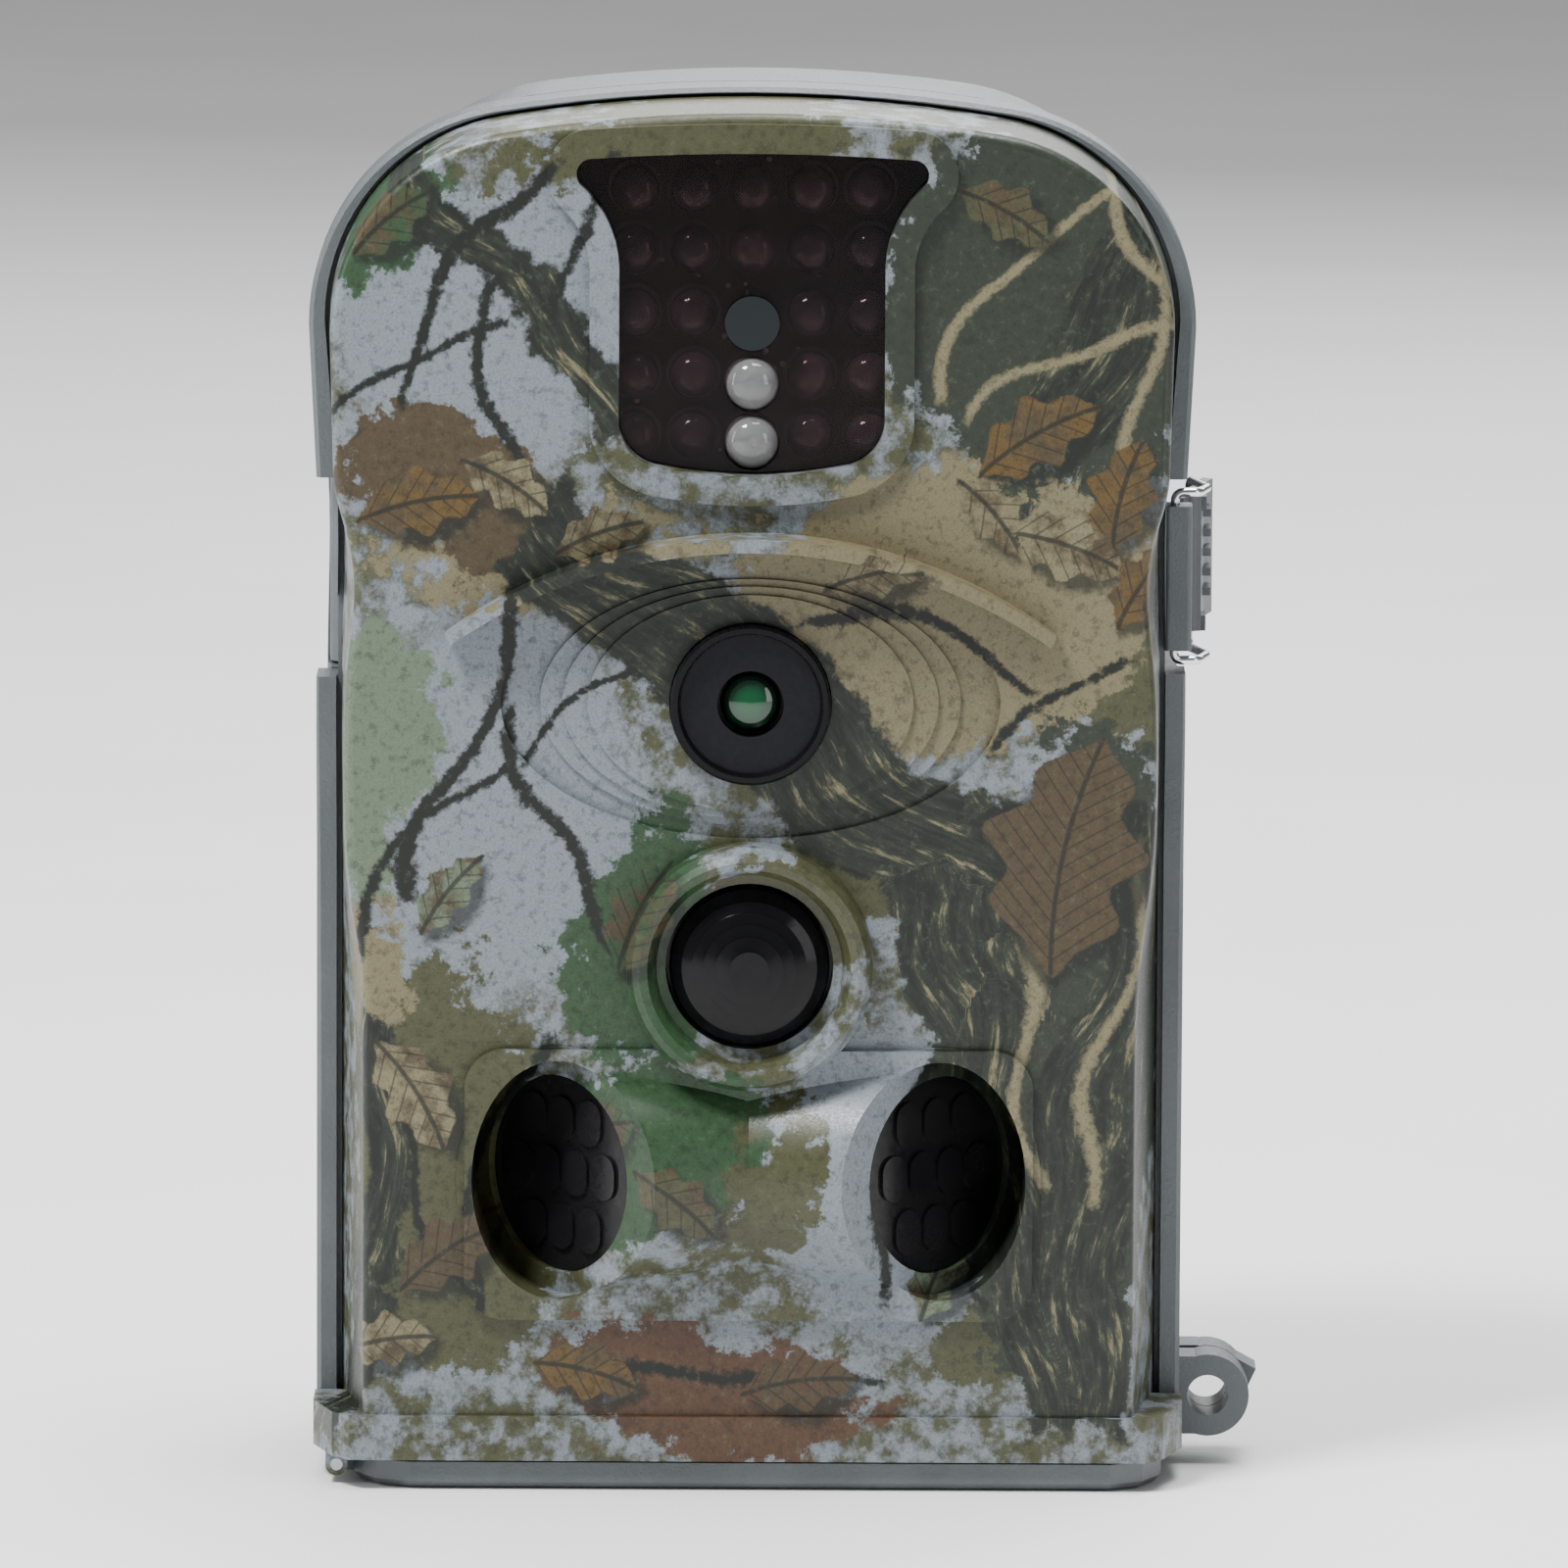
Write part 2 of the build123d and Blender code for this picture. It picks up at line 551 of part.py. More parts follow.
with BuildPart() as side_well:
    with BuildSketch(facing(FACE_Y - 14.0)):
        with Locations((SIDE_X, SIDE_Z)):
            Ellipse(BARREL_R * cos(TURN), BARREL_R)
    extrude(amount=-30.0)
    split(bisect_by=WINDOW_PLANE, keep=Keep.TOP)

with BuildPart() as front_cover:
    with BuildSketch(facing(COVER_Y)):
        add(arch(BAND_BOTTOM, 40.8, 42.0, 20.5, 137.95, 150.0))
    with BuildSketch(facing(FACE_Y)):
        add(arch(BAND_BOTTOM, 38.2, 41.6, 20.2, 137.5, 150.0, FACE_FLANK))
    loft()
    fillet(front_cover.edges().group_by(Axis.Y)[0].sort_by(Axis.Z)[1:], 1.0)
    # pad round the side barrels
    with BuildSketch(facing(FACE_Y + 0.5)):
        with Locations((0, 30.8)):
            RectangleRounded(56.4, 27.2, 4.0)
    extrude(amount=FACE_Y + 0.5 - PAD_Y)
    # raised lip round the infrared window
    with BuildSketch(facing(FACE_Y + 0.5)):
        add(window_outline(2.9))
    extrude(amount=1.4)
    # stepped dish round the lens
    with BuildSketch(facing(FACE_Y - 0.5)):
        with Locations((0, LENS_Z)):
            Ellipse(24.7, 13.6)
    extrude(amount=-1.3, mode=Mode.SUBTRACT)
    for wide, high, rise in ((20.8, 12.3, 0.4), (18.6, 11.6, 0.8), (16.1, 10.8, 1.2)):
        with BuildSketch(facing(FACE_Y + 1.0)):
            with Locations((0, LENS_Z)):
                Ellipse(wide, high)
        extrude(amount=0.2 + rise)
    # hollow inside
    with BuildSketch(facing(COVER_Y + 0.01)):
        add(arch(-5.0, 38.8, 40.0, 18.5, 135.9, 148.0))
    with BuildSketch(facing(FACE_Y + SKIN)):
        add(arch(-5.0, 36.2, 39.6, 18.2, 135.4, 148.0, INNER_FLANK))
    loft(mode=Mode.SUBTRACT)
    add(brow.part)
    for side in SENSOR_SIDES:
        if side > 0:
            add(barrel.part)
        else:
            add(barrel.part.mirror(Plane.YZ))
    for side in SENSOR_SIDES:
        if side > 0:
            add(barrel_core.part, mode=Mode.SUBTRACT)
        else:
            add(barrel_core.part.mirror(Plane.YZ), mode=Mode.SUBTRACT)
    for side in SENSOR_SIDES:
        if side > 0:
            add(side_socket.part)
        else:
            add(side_socket.part.mirror(Plane.YZ))
    for side in SENSOR_SIDES:
        if side > 0:
            add(side_well.part, mode=Mode.SUBTRACT)
        else:
            add(side_well.part.mirror(Plane.YZ), mode=Mode.SUBTRACT)
    # ring round the main motion sensor
    with BuildSketch(Plane.YZ):
        with BuildLine():
            Polyline(
                (FACE_Y + 1.5, PIR_Z + 12.4), (-25.0, PIR_Z + 12.2), (-26.1, PIR_Z + 11.6),
                (-26.5, PIR_Z + 10.9), (-26.2, PIR_Z + 10.1), (-25.2, PIR_Z + 9.5),
                (-23.4, PIR_Z + 9.2), (-23.0, PIR_Z + 8.0), (FACE_Y + 1.5, PIR_Z + 8.0),
                (FACE_Y + 1.5, PIR_Z + 12.4),
            )
        make_face()
    revolve(axis=Axis((0, 0, PIR_Z), (0, 1, 0)))
    # openings: infrared window, lens, main and side motion sensors
    with BuildSketch(facing(-18.0)):
        add(window_outline(0))
        with Locations((0, LENS_Z)):
            Circle(8.05)
        with Locations((0, PIR_Z)):
            Circle(8.3)
    extrude(amount=12.0, mode=Mode.SUBTRACT)
    for side in SENSOR_SIDES:
        with BuildSketch(Plane(
            origin=(side * SIDE_X, SIDE_Y, SIDE_Z), z_dir=(side * sin(TURN), -cos(TURN), 0)
        ).offset(-5.0)):
            Circle(SIDE_WINDOW_R)
        extrude(amount=6.0, mode=Mode.SUBTRACT)
    # bottom band with long tapered ends, hollowed for the control bay
    with BuildSketch(Plane.XY.offset(BAND_BOTTOM)):
        with BuildLine():
            Polyline(
                (43.45, -8.6), (43.45, -14.2), (41.4, -20.6), (39.6, FACE_Y - 0.7),
                (-39.6, FACE_Y - 0.7), (-41.4, -20.6), (-43.45, -14.2), (-43.45, -8.6),
                (43.45, -8.6),
            )
        make_face()
    extrude(amount=4.5)
    with BuildSketch(Plane.XY.offset(BAND_BOTTOM - 0.1)):
        with Locations((0, -10.3)):
            Rectangle(76.8, 20.6)
    extrude(amount=5.7, mode=Mode.SUBTRACT)
    # screw bosses and the two knuckles of the bottom door
    with BuildSketch(facing(PLATE_FRONT - 0.05)):
        with Locations(COVER_SCREWS):
            Circle(2.6)
            Circle(1.3, mode=Mode.SUBTRACT)
    extrude(amount=PLATE_FRONT - 0.05 - FACE_Y - 1.0)
    for back in DOOR_KNUCKLES:
        with BuildSketch(facing(back)):
            with Locations((DOOR_PIN_X, DOOR_PIN_Z)):
                Circle(1.1)
            with Locations((DOOR_PIN_X, DOOR_PIN_Z + 0.8)):
                Rectangle(2.2, 1.8)
            with Locations((DOOR_PIN_X, DOOR_PIN_Z)):
                Circle(0.61, mode=Mode.SUBTRACT)
        extrude(amount=DOOR_KNUCKLE_LONG)
front_cover.part.label = "front_cover"
export_step(front_cover.part, "parts/front_cover.step")

with BuildPart() as cover_screws:
    with BuildSketch(facing(PLATE_FRONT + 0.6)):
        with Locations(COVER_SCREWS):
            Circle(1.2)
    extrude(amount=9.0)
    with BuildSketch(facing(FRAME_BACK - 0.1)):
        with Locations(COVER_SCREWS):
            Circle(2.2)
    extrude(amount=1.1)
    with BuildSketch(facing(FRAME_BACK)):
        with Locations(COVER_SCREWS):
            Rectangle(2.6, 0.5)
            Rectangle(0.5, 2.6)
    extrude(amount=0.7, mode=Mode.SUBTRACT)
cover_screws.part.label = "cover_screws"
export_step(cover_screws.part, "parts/cover_screws.step")

# ---------------------------------------------------------------- front half: window and lights
WINDOW_FRONT = -20.9
WINDOW_BACK = -18.9
LED_R = 2.4
BOARD_FRONT = -13.5
BOARD_BACK = -11.9
LED_SPOTS = [
    (LED_PITCH_X * column, row)
    for row in LED_ROWS
    for column in (-2, -1, 0, 1, 2)
    if column or row > LED_ROWS[2]
]
SENSOR_SPOT = (0, LED_ROWS[2] - 0.5)
GLOW_SPOTS = [(0, LED_ROWS[3] - 0.3), (0, LED_ROWS[4] - 0.1)]
GLOW_R = 2.7

with BuildPart() as ir_window:
    with BuildSketch(facing(WINDOW_BACK)):
        add(window_outline(1.2))
    extrude(amount=1.08)
    with BuildSketch(facing(WINDOW_BACK)):
        add(window_outline(-0.12))
    extrude(amount=WINDOW_BACK - WINDOW_FRONT)
    with BuildSketch(facing(WINDOW_BACK + 1.0)):
        with Locations([SENSOR_SPOT] + GLOW_SPOTS):
            Circle(GLOW_R + 0.1)
    extrude(amount=4.0, mode=Mode.SUBTRACT)
ir_window.part.label = "ir_window"
export_step(ir_window.part, "parts/ir_window.step")

with BuildPart() as ir_leds:
    # domed 5 mm emitters, each with a base collar
    with BuildSketch(facing(BOARD_FRONT)):
        with Locations(LED_SPOTS):
            Circle(LED_R + 0.3)
    extrude(amount=0.9)
    with BuildSketch(facing(BOARD_FRONT - 0.9)):
        with Locations(LED_SPOTS):
            Circle(LED_R)
    extrude(amount=3.9)
    fillet(ir_leds.edges().group_by(Axis.Y)[0], 1.9)
ir_leds.part.label = "ir_leds"
export_step(ir_leds.part, "parts/ir_leds.step")

with BuildPart() as indicator_leds:
    with BuildSketch(facing(BOARD_FRONT)):
        with Locations(GLOW_SPOTS):
            Circle(GLOW_R)
    extrude(amount=8.4)
    fillet(indicator_leds.edges().group_by(Axis.Y)[0], 2.2)
indicator_leds.part.label = "indicator_leds"
export_step(indicator_leds.part, "parts/indicator_leds.step")

with BuildPart() as light_sensor:
    with BuildSketch(facing(BOARD_FRONT)):
        with Locations(SENSOR_SPOT):
            Circle(GLOW_R)
    extrude(amount=7.5)
light_sensor.part.label = "light_sensor"
export_step(light_sensor.part, "parts/light_sensor.step")

with BuildPart() as led_board:
    with BuildSketch(facing(BOARD_BACK)):
        add(window_outline(1.0))
    extrude(amount=BOARD_BACK - BOARD_FRONT)
led_board.part.label = "led_board"
export_step(led_board.part, "parts/led_board.step")

# ---------------------------------------------------------------- front half: camera
LENS_AXIS = Axis((0, 0, LENS_Z), (0, 1, 0))

with BuildPart() as lens_ring:
    # sleeve with a flat black mask set back behind its lip
    with BuildSketch(Plane.YZ):
        with BuildLine():
            Polyline(
                (-19.0, LENS_Z + 9.4), (-19.9, LENS_Z + 9.4), (-19.9, LENS_Z + 7.95),
                (-23.9, LENS_Z + 7.95), (-24.2, LENS_Z + 7.7), (-24.2, LENS_Z + 7.2),
                (-23.0, LENS_Z + 6.9), (-23.0, LENS_Z + 3.3), (-22.2, LENS_Z + 3.3),
                (-22.2, LENS_Z + 6.6), (-19.0, LENS_Z + 6.6), (-19.0, LENS_Z + 9.4),
            )
        make_face()
    revolve(axis=LENS_AXIS)
lens_ring.part.label = "lens_ring"
export_step(lens_ring.part, "parts/lens_ring.step")

with BuildPart() as lens_barrel:
    with BuildSketch(facing(-14.05)):
        with Locations((0, LENS_Z)):
            Circle(6.0)
            Circle(2.4, mode=Mode.SUBTRACT)
    extrude(amount=7.0)
    # focusing grooves round the barrel
    for back in (-15.5, -17.0, -18.5):
        with BuildSketch(facing(back)):
            with Locations((0, LENS_Z)):
                Circle(6.5)
                Circle(5.6, mode=Mode.SUBTRACT)
        extrude(amount=0.6, mode=Mode.SUBTRACT)
    # seat for the front element
    with BuildSketch(facing(-20.6)):
        with Locations((0, LENS_Z)):
            Circle(3.1)
    extrude(amount=2.0, mode=Mode.SUBTRACT)
lens_barrel.part.label = "lens_barrel"
export_step(lens_barrel.part, "parts/lens_barrel.step")

with BuildPart() as lens_glass:
    with BuildSketch(Plane.YZ):
        with BuildLine():
            Polyline((-21.6, LENS_Z + 3.0), (-20.65, LENS_Z + 3.0), (-20.65, LENS_Z), (-22.7, LENS_Z))
            ThreePointArc((-22.7, LENS_Z), (-22.43, LENS_Z + 1.5), (-21.6, LENS_Z + 3.0))
        make_face()
    revolve(axis=LENS_AXIS)
lens_glass.part.label = "lens_glass"
export_step(lens_glass.part, "parts/lens_glass.step")

FILTER_BACK = -11.6
FILTER_FRONT = -12.4
FILTER_STROKE = 5.5

with BuildPart() as ir_cut_housing:
    # lens mount with a cross slot for the sliding filter
    with BuildSketch(facing(-10.45)):
        with Locations((0, LENS_Z)):
            RectangleRounded(28.0, 17.0, 1.0)
    extrude(amount=3.6)
    with BuildSketch(facing(FILTER_BACK + 0.1)):
        with Locations((0, LENS_Z)):
            Rectangle(24.0, 10.1)
    extrude(amount=1.0, mode=Mode.SUBTRACT)
    with BuildSketch(facing(-10.0)):
        with Locations((0, LENS_Z)):
            Circle(3.6)
    extrude(amount=5.0, mode=Mode.SUBTRACT)
ir_cut_housing.part.label = "ir_cut_housing"
export_step(ir_cut_housing.part, "parts/ir_cut_housing.step")

with BuildPart() as ir_cut_filter:
    # carriage with one pane over the sensor and one clear aperture beside it
    with BuildSketch(facing(FILTER_BACK)):
        with Locations((-FILTER_STROKE / 2, LENS_Z)):
            RectangleRounded(16.0, 10.0, 0.8)
        with Locations((-FILTER_STROKE - 2.0, LENS_Z)):
            Circle(2.6, mode=Mode.SUBTRACT)
    extrude(amount=FILTER_BACK - FILTER_FRONT)
ir_cut_filter.part.label = "ir_cut_filter"
export_step(ir_cut_filter.part, "parts/ir_cut_filter.step")

with BuildPart() as image_sensor:
    with BuildSketch(facing(-9.2)):
        with Locations((0, LENS_Z)):
            Rectangle(28.0, 22.0)
    extrude(amount=1.2)
    with BuildSketch(facing(-10.4)):
        with Locations((0, LENS_Z)):
            Rectangle(5.0, 5.0)
    extrude(amount=0.8)
image_sensor.part.label = "image_sensor"
export_step(image_sensor.part, "parts/image_sensor.step")

# ---------------------------------------------------------------- front half: motion sensors
PIR_AXIS = Axis((0, 0, PIR_Z), (0, 1, 0))
CAN_R = 4.1
CAN_LONG = 4.2

with BuildPart() as pir_dome:
    # domed lens with a glued flange and stepped concentric rings
    with BuildSketch(Plane.YZ):
        with BuildLine():
            Polyline(
                (-26.75, PIR_Z), (-26.75, PIR_Z + 2.0), (-26.45, PIR_Z + 2.0),
                (-26.3, PIR_Z + 3.4), (-26.0, PIR_Z + 3.4), (-25.8, PIR_Z + 4.6),
                (-25.5, PIR_Z + 4.6), (-25.2, PIR_Z + 5.7), (-24.9, PIR_Z + 5.7),
                (-24.4, PIR_Z + 6.7), (-24.1, PIR_Z + 6.7), (-23.2, PIR_Z + 7.7),
                (-22.6, PIR_Z + 7.95), (-19.95, PIR_Z + 7.95), (-19.95, PIR_Z + 9.4),
                (-19.0, PIR_Z + 9.4), (-19.0, PIR_Z + 7.0), (-22.4, PIR_Z + 7.0),
                (-25.9, PIR_Z),
            )
            Line((-25.9, PIR_Z), (-26.75, PIR_Z))
        make_face()
    revolve(axis=PIR_AXIS)
pir_dome.part.label = "pir_dome"
export_step(pir_dome.part, "parts/pir_dome.step")

with BuildPart() as pir_sensor:
    with BuildSketch(facing(-14.0)):
        with Locations((0, PIR_Z)):
            Circle(CAN_R + 0.5)
    extrude(amount=0.5)
    with BuildSketch(facing(-14.5)):
        with Locations((0, PIR_Z)):
            Circle(CAN_R)
    extrude(amount=CAN_LONG - 0.5)
    with BuildSketch(facing(-18.0)):
        with Locations((0, PIR_Z)):
            Rectangle(4.0, 3.0)
    extrude(amount=0.5, mode=Mode.SUBTRACT)
pir_sensor.part.label = "pir_sensor"
export_step(pir_sensor.part, "parts/pir_sensor.step")

with BuildPart() as pir_board:
    with BuildSketch(facing(-12.8)):
        with Locations((0, PIR_Z + 1.0)):
            Rectangle(22.0, 14.0)
    extrude(amount=1.2)
pir_board.part.label = "pir_board"
export_step(pir_board.part, "parts/pir_board.step")

for side, name in ((-1, "left_pir_lens"), (1, "right_pir_lens")):
    side_plane = Plane(
        origin=(side * SIDE_X, SIDE_Y, SIDE_Z), x_dir=(cos(TURN), side * sin(TURN), 0),
        z_dir=(side * sin(TURN), -cos(TURN), 0),
    )
    with BuildPart() as side_lens:
        with BuildSketch(side_plane.offset(-1.9)):
            Circle(SIDE_WINDOW_R - 0.1)
        extrude(amount=1.1)
        # three rows of arched lenslets
        for row, spots in ((5.4, 3), (0.2, 4), (-5.4, 3)):
            with BuildSketch(side_plane.offset(-0.8)):
                with Locations([(3.9 * (n - (spots - 1) / 2), row) for n in range(spots)]):
                    SlotOverall(4.6, 3.4, rotation=90)
            extrude(amount=0.35)
    side_lens.part.label = name
    export_step(side_lens.part, "parts/" + name + ".step")

with BuildPart() as side_pir_sensors:
    for side in SENSOR_SIDES:
        with BuildSketch(Plane(
            origin=(side * SIDE_X, SIDE_Y, SIDE_Z), z_dir=(side * sin(TURN), -cos(TURN), 0)
        ).offset(-10.4)):
            Circle(CAN_R)
        extrude(amount=CAN_LONG)
side_pir_sensors.part.label = "side_pir_sensors"
export_step(side_pir_sensors.part, "parts/side_pir_sensors.step")

with BuildPart() as side_pir_boards:
    for side in SENSOR_SIDES:
        with BuildSketch(Plane(
            origin=(side * SIDE_X, SIDE_Y, SIDE_Z), z_dir=(side * sin(TURN), -cos(TURN), 0)
        ).offset(-11.6)):
            Rectangle(9.0, 9.0)
        extrude(amount=1.2)
side_pir_boards.part.label = "side_pir_boards"
export_step(side_pir_boards.part, "parts/side_pir_boards.step")

# ---------------------------------------------------------------- front half: main board
MAIN_BACK = -6.8
MAIN_FRONT = -8.4

with BuildPart() as main_board:
    with BuildSketch(facing(MAIN_BACK)):
        with Locations((0, 72.0)):
            RectangleRounded(58.0, 52.0, 1.5)
        with Locations(BOARD_SCREWS):
            Circle(1.1, mode=Mode.SUBTRACT)
    extrude(amount=MAIN_BACK - MAIN_FRONT)
main_board.part.label = "main_board"
export_step(main_board.part, "parts/main_board.step")

with BuildPart() as board_chips:
    # processor, memory, power chip, and two electrolytic capacitors
    with BuildSketch(facing(MAIN_FRONT)):
        with Locations((21.0, 80.0)):
            Rectangle(11.0, 14.0)
        with Locations((-21.0, 78.0)):
            Rectangle(8.0, 12.0)
        with Locations((20.0, 62.0)):
            Rectangle(8.0, 8.0)
    extrude(amount=1.3)
    with BuildSketch(facing(MAIN_FRONT)):
        with Locations((-20.0, 62.0), (-20.0, 53.5)):
            Circle(3.2)
    extrude(amount=5.5)
board_chips.part.label = "board_chips"
export_step(board_chips.part, "parts/board_chips.step")

with BuildPart() as board_screws:
    with BuildSketch(facing(MAIN_BACK + 2.4)):
        with Locations(BOARD_SCREWS):
            Circle(0.75)
    extrude(amount=2.4 + MAIN_BACK - MAIN_FRONT)
    with BuildSketch(facing(MAIN_FRONT)):
        with Locations(BOARD_SCREWS):
            Circle(1.6)
    extrude(amount=0.9)
board_screws.part.label = "board_screws"
export_step(board_screws.part, "parts/board_screws.step")

# ---------------------------------------------------------------- front half: control bay
KEY_SPOTS = {
    "key_up": (KEY_X, KEY_Y + KEY_STEP),
    "key_down": (KEY_X, KEY_Y - KEY_STEP),
    "key_left": (KEY_X - KEY_STEP - 0.6, KEY_Y),
    "key_right": (KEY_X + KEY_STEP + 0.6, KEY_Y),
    "key_ok": (KEY_X, KEY_Y),
    "key_menu": (MENU_X, KEY_Y),
}
KEY_SIZE = 3.2
KEY_GAP = 0.15
CARD_X = -13.0
CARD_Y = -5.55
LCD_X = 15.0
LCD_Y = -14.0
USB_X = 13.0
USB_Y = -6.3
AV_X = 33.4
DC_X = -33.4
JACK_Y = -10.5
BOARD_LOW = 15.4

with BuildPart() as control_panel:
    with BuildSketch(Plane.XY.offset(PANEL_LOW)):
        with Locations((0, -12.05)):
            Rectangle(71.8, 15.7)
        with Locations(list(KEY_SPOTS.values())):
            Rectangle(KEY_SIZE + 2 * KEY_GAP, KEY_SIZE + 2 * KEY_GAP, mode=Mode.SUBTRACT)
        with Locations((SWITCH_X, KEY_Y)):
            Rectangle(8.6, 2.8, mode=Mode.SUBTRACT)
        with Locations((LCD_X, LCD_Y)):
            Rectangle(20.0, 9.0, mode=Mode.SUBTRACT)
        with Locations((CARD_X, CARD_Y)):
            Rectangle(24.4, 2.4, mode=Mode.SUBTRACT)
        with Locations((USB_X, USB_Y)):
            Rectangle(7.6, 3.6, mode=Mode.SUBTRACT)
        with Locations((AV_X, JACK_Y), (DC_X, JACK_Y)):
            Circle(2.9, mode=Mode.SUBTRACT)
    extrude(amount=PANEL_HIGH - PANEL_LOW)
control_panel.part.label = "control_panel"
export_step(control_panel.part, "parts/control_panel.step")

with BuildPart() as control_board:
    with BuildSketch(Plane.XY.offset(BOARD_LOW)):
        with Locations((0, -13.5)):
            Rectangle(58.0, 11.8)
    extrude(amount=1.2)
control_board.part.label = "control_board"
export_step(control_board.part, "parts/control_board.step")

with BuildPart() as key_switches:
    with BuildSketch(Plane.XY.offset(BOARD_LOW - 2.2)):
        with Locations(list(KEY_SPOTS.values())):
            Rectangle(3.6, 3.6)
    extrude(amount=2.2)
    with BuildSketch(Plane.XY.offset(BOARD_LOW - 2.8)):
        with Locations(list(KEY_SPOTS.values())):
            Circle(1.0)
    extrude(amount=0.6)
key_switches.part.label = "key_switches"
export_step(key_switches.part, "parts/key_switches.step")

for name, spot in KEY_SPOTS.items():
    with BuildPart() as key:
        with BuildSketch(Plane.XY.offset(PANEL_LOW - 1.0)):
            with Locations(spot):
                RectangleRounded(KEY_SIZE, KEY_SIZE, 0.4)
        extrude(amount=PANEL_HIGH - PANEL_LOW + 1.1)
        fillet(key.edges().group_by(Axis.Z)[0], 0.3)
        # retaining flange inside the panel
        with BuildSketch(Plane.XY.offset(PANEL_HIGH + 0.05)):
            with Locations(spot):
                Rectangle(KEY_SIZE + 0.8, KEY_SIZE + 0.8)
        extrude(amount=0.6)
        with BuildSketch(Plane.XY.offset(PANEL_HIGH + 0.6)):
            with Locations(spot):
                Circle(0.9)
        extrude(amount=BOARD_LOW - 2.8 - PANEL_HIGH - 0.6 - 0.65)
    key.part.label = name
    export_step(key.part, "parts/" + name + ".step")

with BuildPart() as power_switch:
    # knob below the panel, neck through the slot, shoe above it
    with BuildSketch(Plane.XY.offset(PANEL_LOW - 1.4)):
        with Locations((SWITCH_X, KEY_Y)):
            Rectangle(3.0, 2.4)
    extrude(amount=PANEL_HIGH - PANEL_LOW + 1.5)
    with BuildSketch(Plane.XY.offset(PANEL_LOW - 1.5)):
        with Locations([(SWITCH_X + step, KEY_Y) for step in (-0.9, 0, 0.9)]):
            Rectangle(0.4, 3.0)
    extrude(amount=0.5, mode=Mode.SUBTRACT)
    with BuildSketch(Plane.XY.offset(PANEL_HIGH + 0.05)):
        with Locations((SWITCH_X, KEY_Y)):
            Rectangle(5.0, 4.4)
    extrude(amount=1.2)
power_switch.part.label = "power_switch"
export_step(power_switch.part, "parts/power_switch.step")

with BuildPart() as status_lcd:
    with BuildSketch(Plane.XY.offset(PANEL_LOW + 0.5)):
        with Locations((LCD_X, LCD_Y)):
            Rectangle(19.8, 8.8)
    extrude(amount=PANEL_HIGH - PANEL_LOW - 0.5)
    with BuildSketch(Plane.XY.offset(PANEL_HIGH + 0.02)):
        with Locations((LCD_X, LCD_Y)):
            Rectangle(22.0, 10.0)
    extrude(amount=1.6)
    with BuildSketch(Plane.XY.offset(PANEL_HIGH - 0.2)):
        with Locations((LCD_X, LCD_Y)):
            Rectangle(19.8, 8.8)
    extrude(amount=0.4)
status_lcd.part.label = "status_lcd"
export_step(status_lcd.part, "parts/status_lcd.step")

CARD_THICK = 2.1
CARD_WIDE = 24.0
CARD_LONG = 32.0
CARD_LOW = PANEL_LOW - 0.6

with BuildPart() as sd_card:
    with BuildSketch(facing(CARD_Y + CARD_THICK / 2)):
        with BuildLine():
            Polyline(
                (CARD_X - CARD_WIDE / 2, CARD_LOW), (CARD_X + CARD_WIDE / 2, CARD_LOW),
                (CARD_X + CARD_WIDE / 2, CARD_LOW + CARD_LONG),
                (CARD_X - CARD_WIDE / 2 + 4.0, CARD_LOW + CARD_LONG),
                (CARD_X - CARD_WIDE / 2, CARD_LOW + CARD_LONG - 4.0),
                (CARD_X - CARD_WIDE / 2, CARD_LOW),
            )
        make_face()
    extrude(amount=CARD_THICK)
sd_card.part.label = "sd_card"
export_step(sd_card.part, "parts/sd_card.step")

with BuildPart() as card_socket:
    with BuildSketch(Plane.XY.offset(PANEL_HIGH + 0.02)):
        with Locations((CARD_X, CARD_Y + 0.02)):
            Rectangle(26.4, 3.0)
        with Locations((CARD_X, CARD_Y)):
            Rectangle(CARD_WIDE + 0.2, CARD_THICK + 0.2, mode=Mode.SUBTRACT)
    extrude(amount=29.0)
    # open window in the front wall of the shell
    with BuildSketch(facing(CARD_Y)):
        with Locations((CARD_X, 26.0)):
            Rectangle(16.0, 14.0)
    extrude(amount=3.0, mode=Mode.SUBTRACT)
card_socket.part.label = "card_socket"
export_step(card_socket.part, "parts/card_socket.step")

with BuildPart() as usb_jack:
    with BuildSketch(Plane.XY.offset(PANEL_LOW + 0.3)):
        with Locations((USB_X, USB_Y)):
            Rectangle(7.4, 3.4)
    extrude(amount=6.2)
    with BuildSketch(Plane.XY.offset(PANEL_LOW)):
        with Locations((USB_X, USB_Y)):
            Rectangle(6.6, 2.6)
            Rectangle(4.8, 0.9, mode=Mode.SUBTRACT)
    extrude(amount=5.0, mode=Mode.SUBTRACT)
usb_jack.part.label = "usb_jack"
export_step(usb_jack.part, "parts/usb_jack.step")

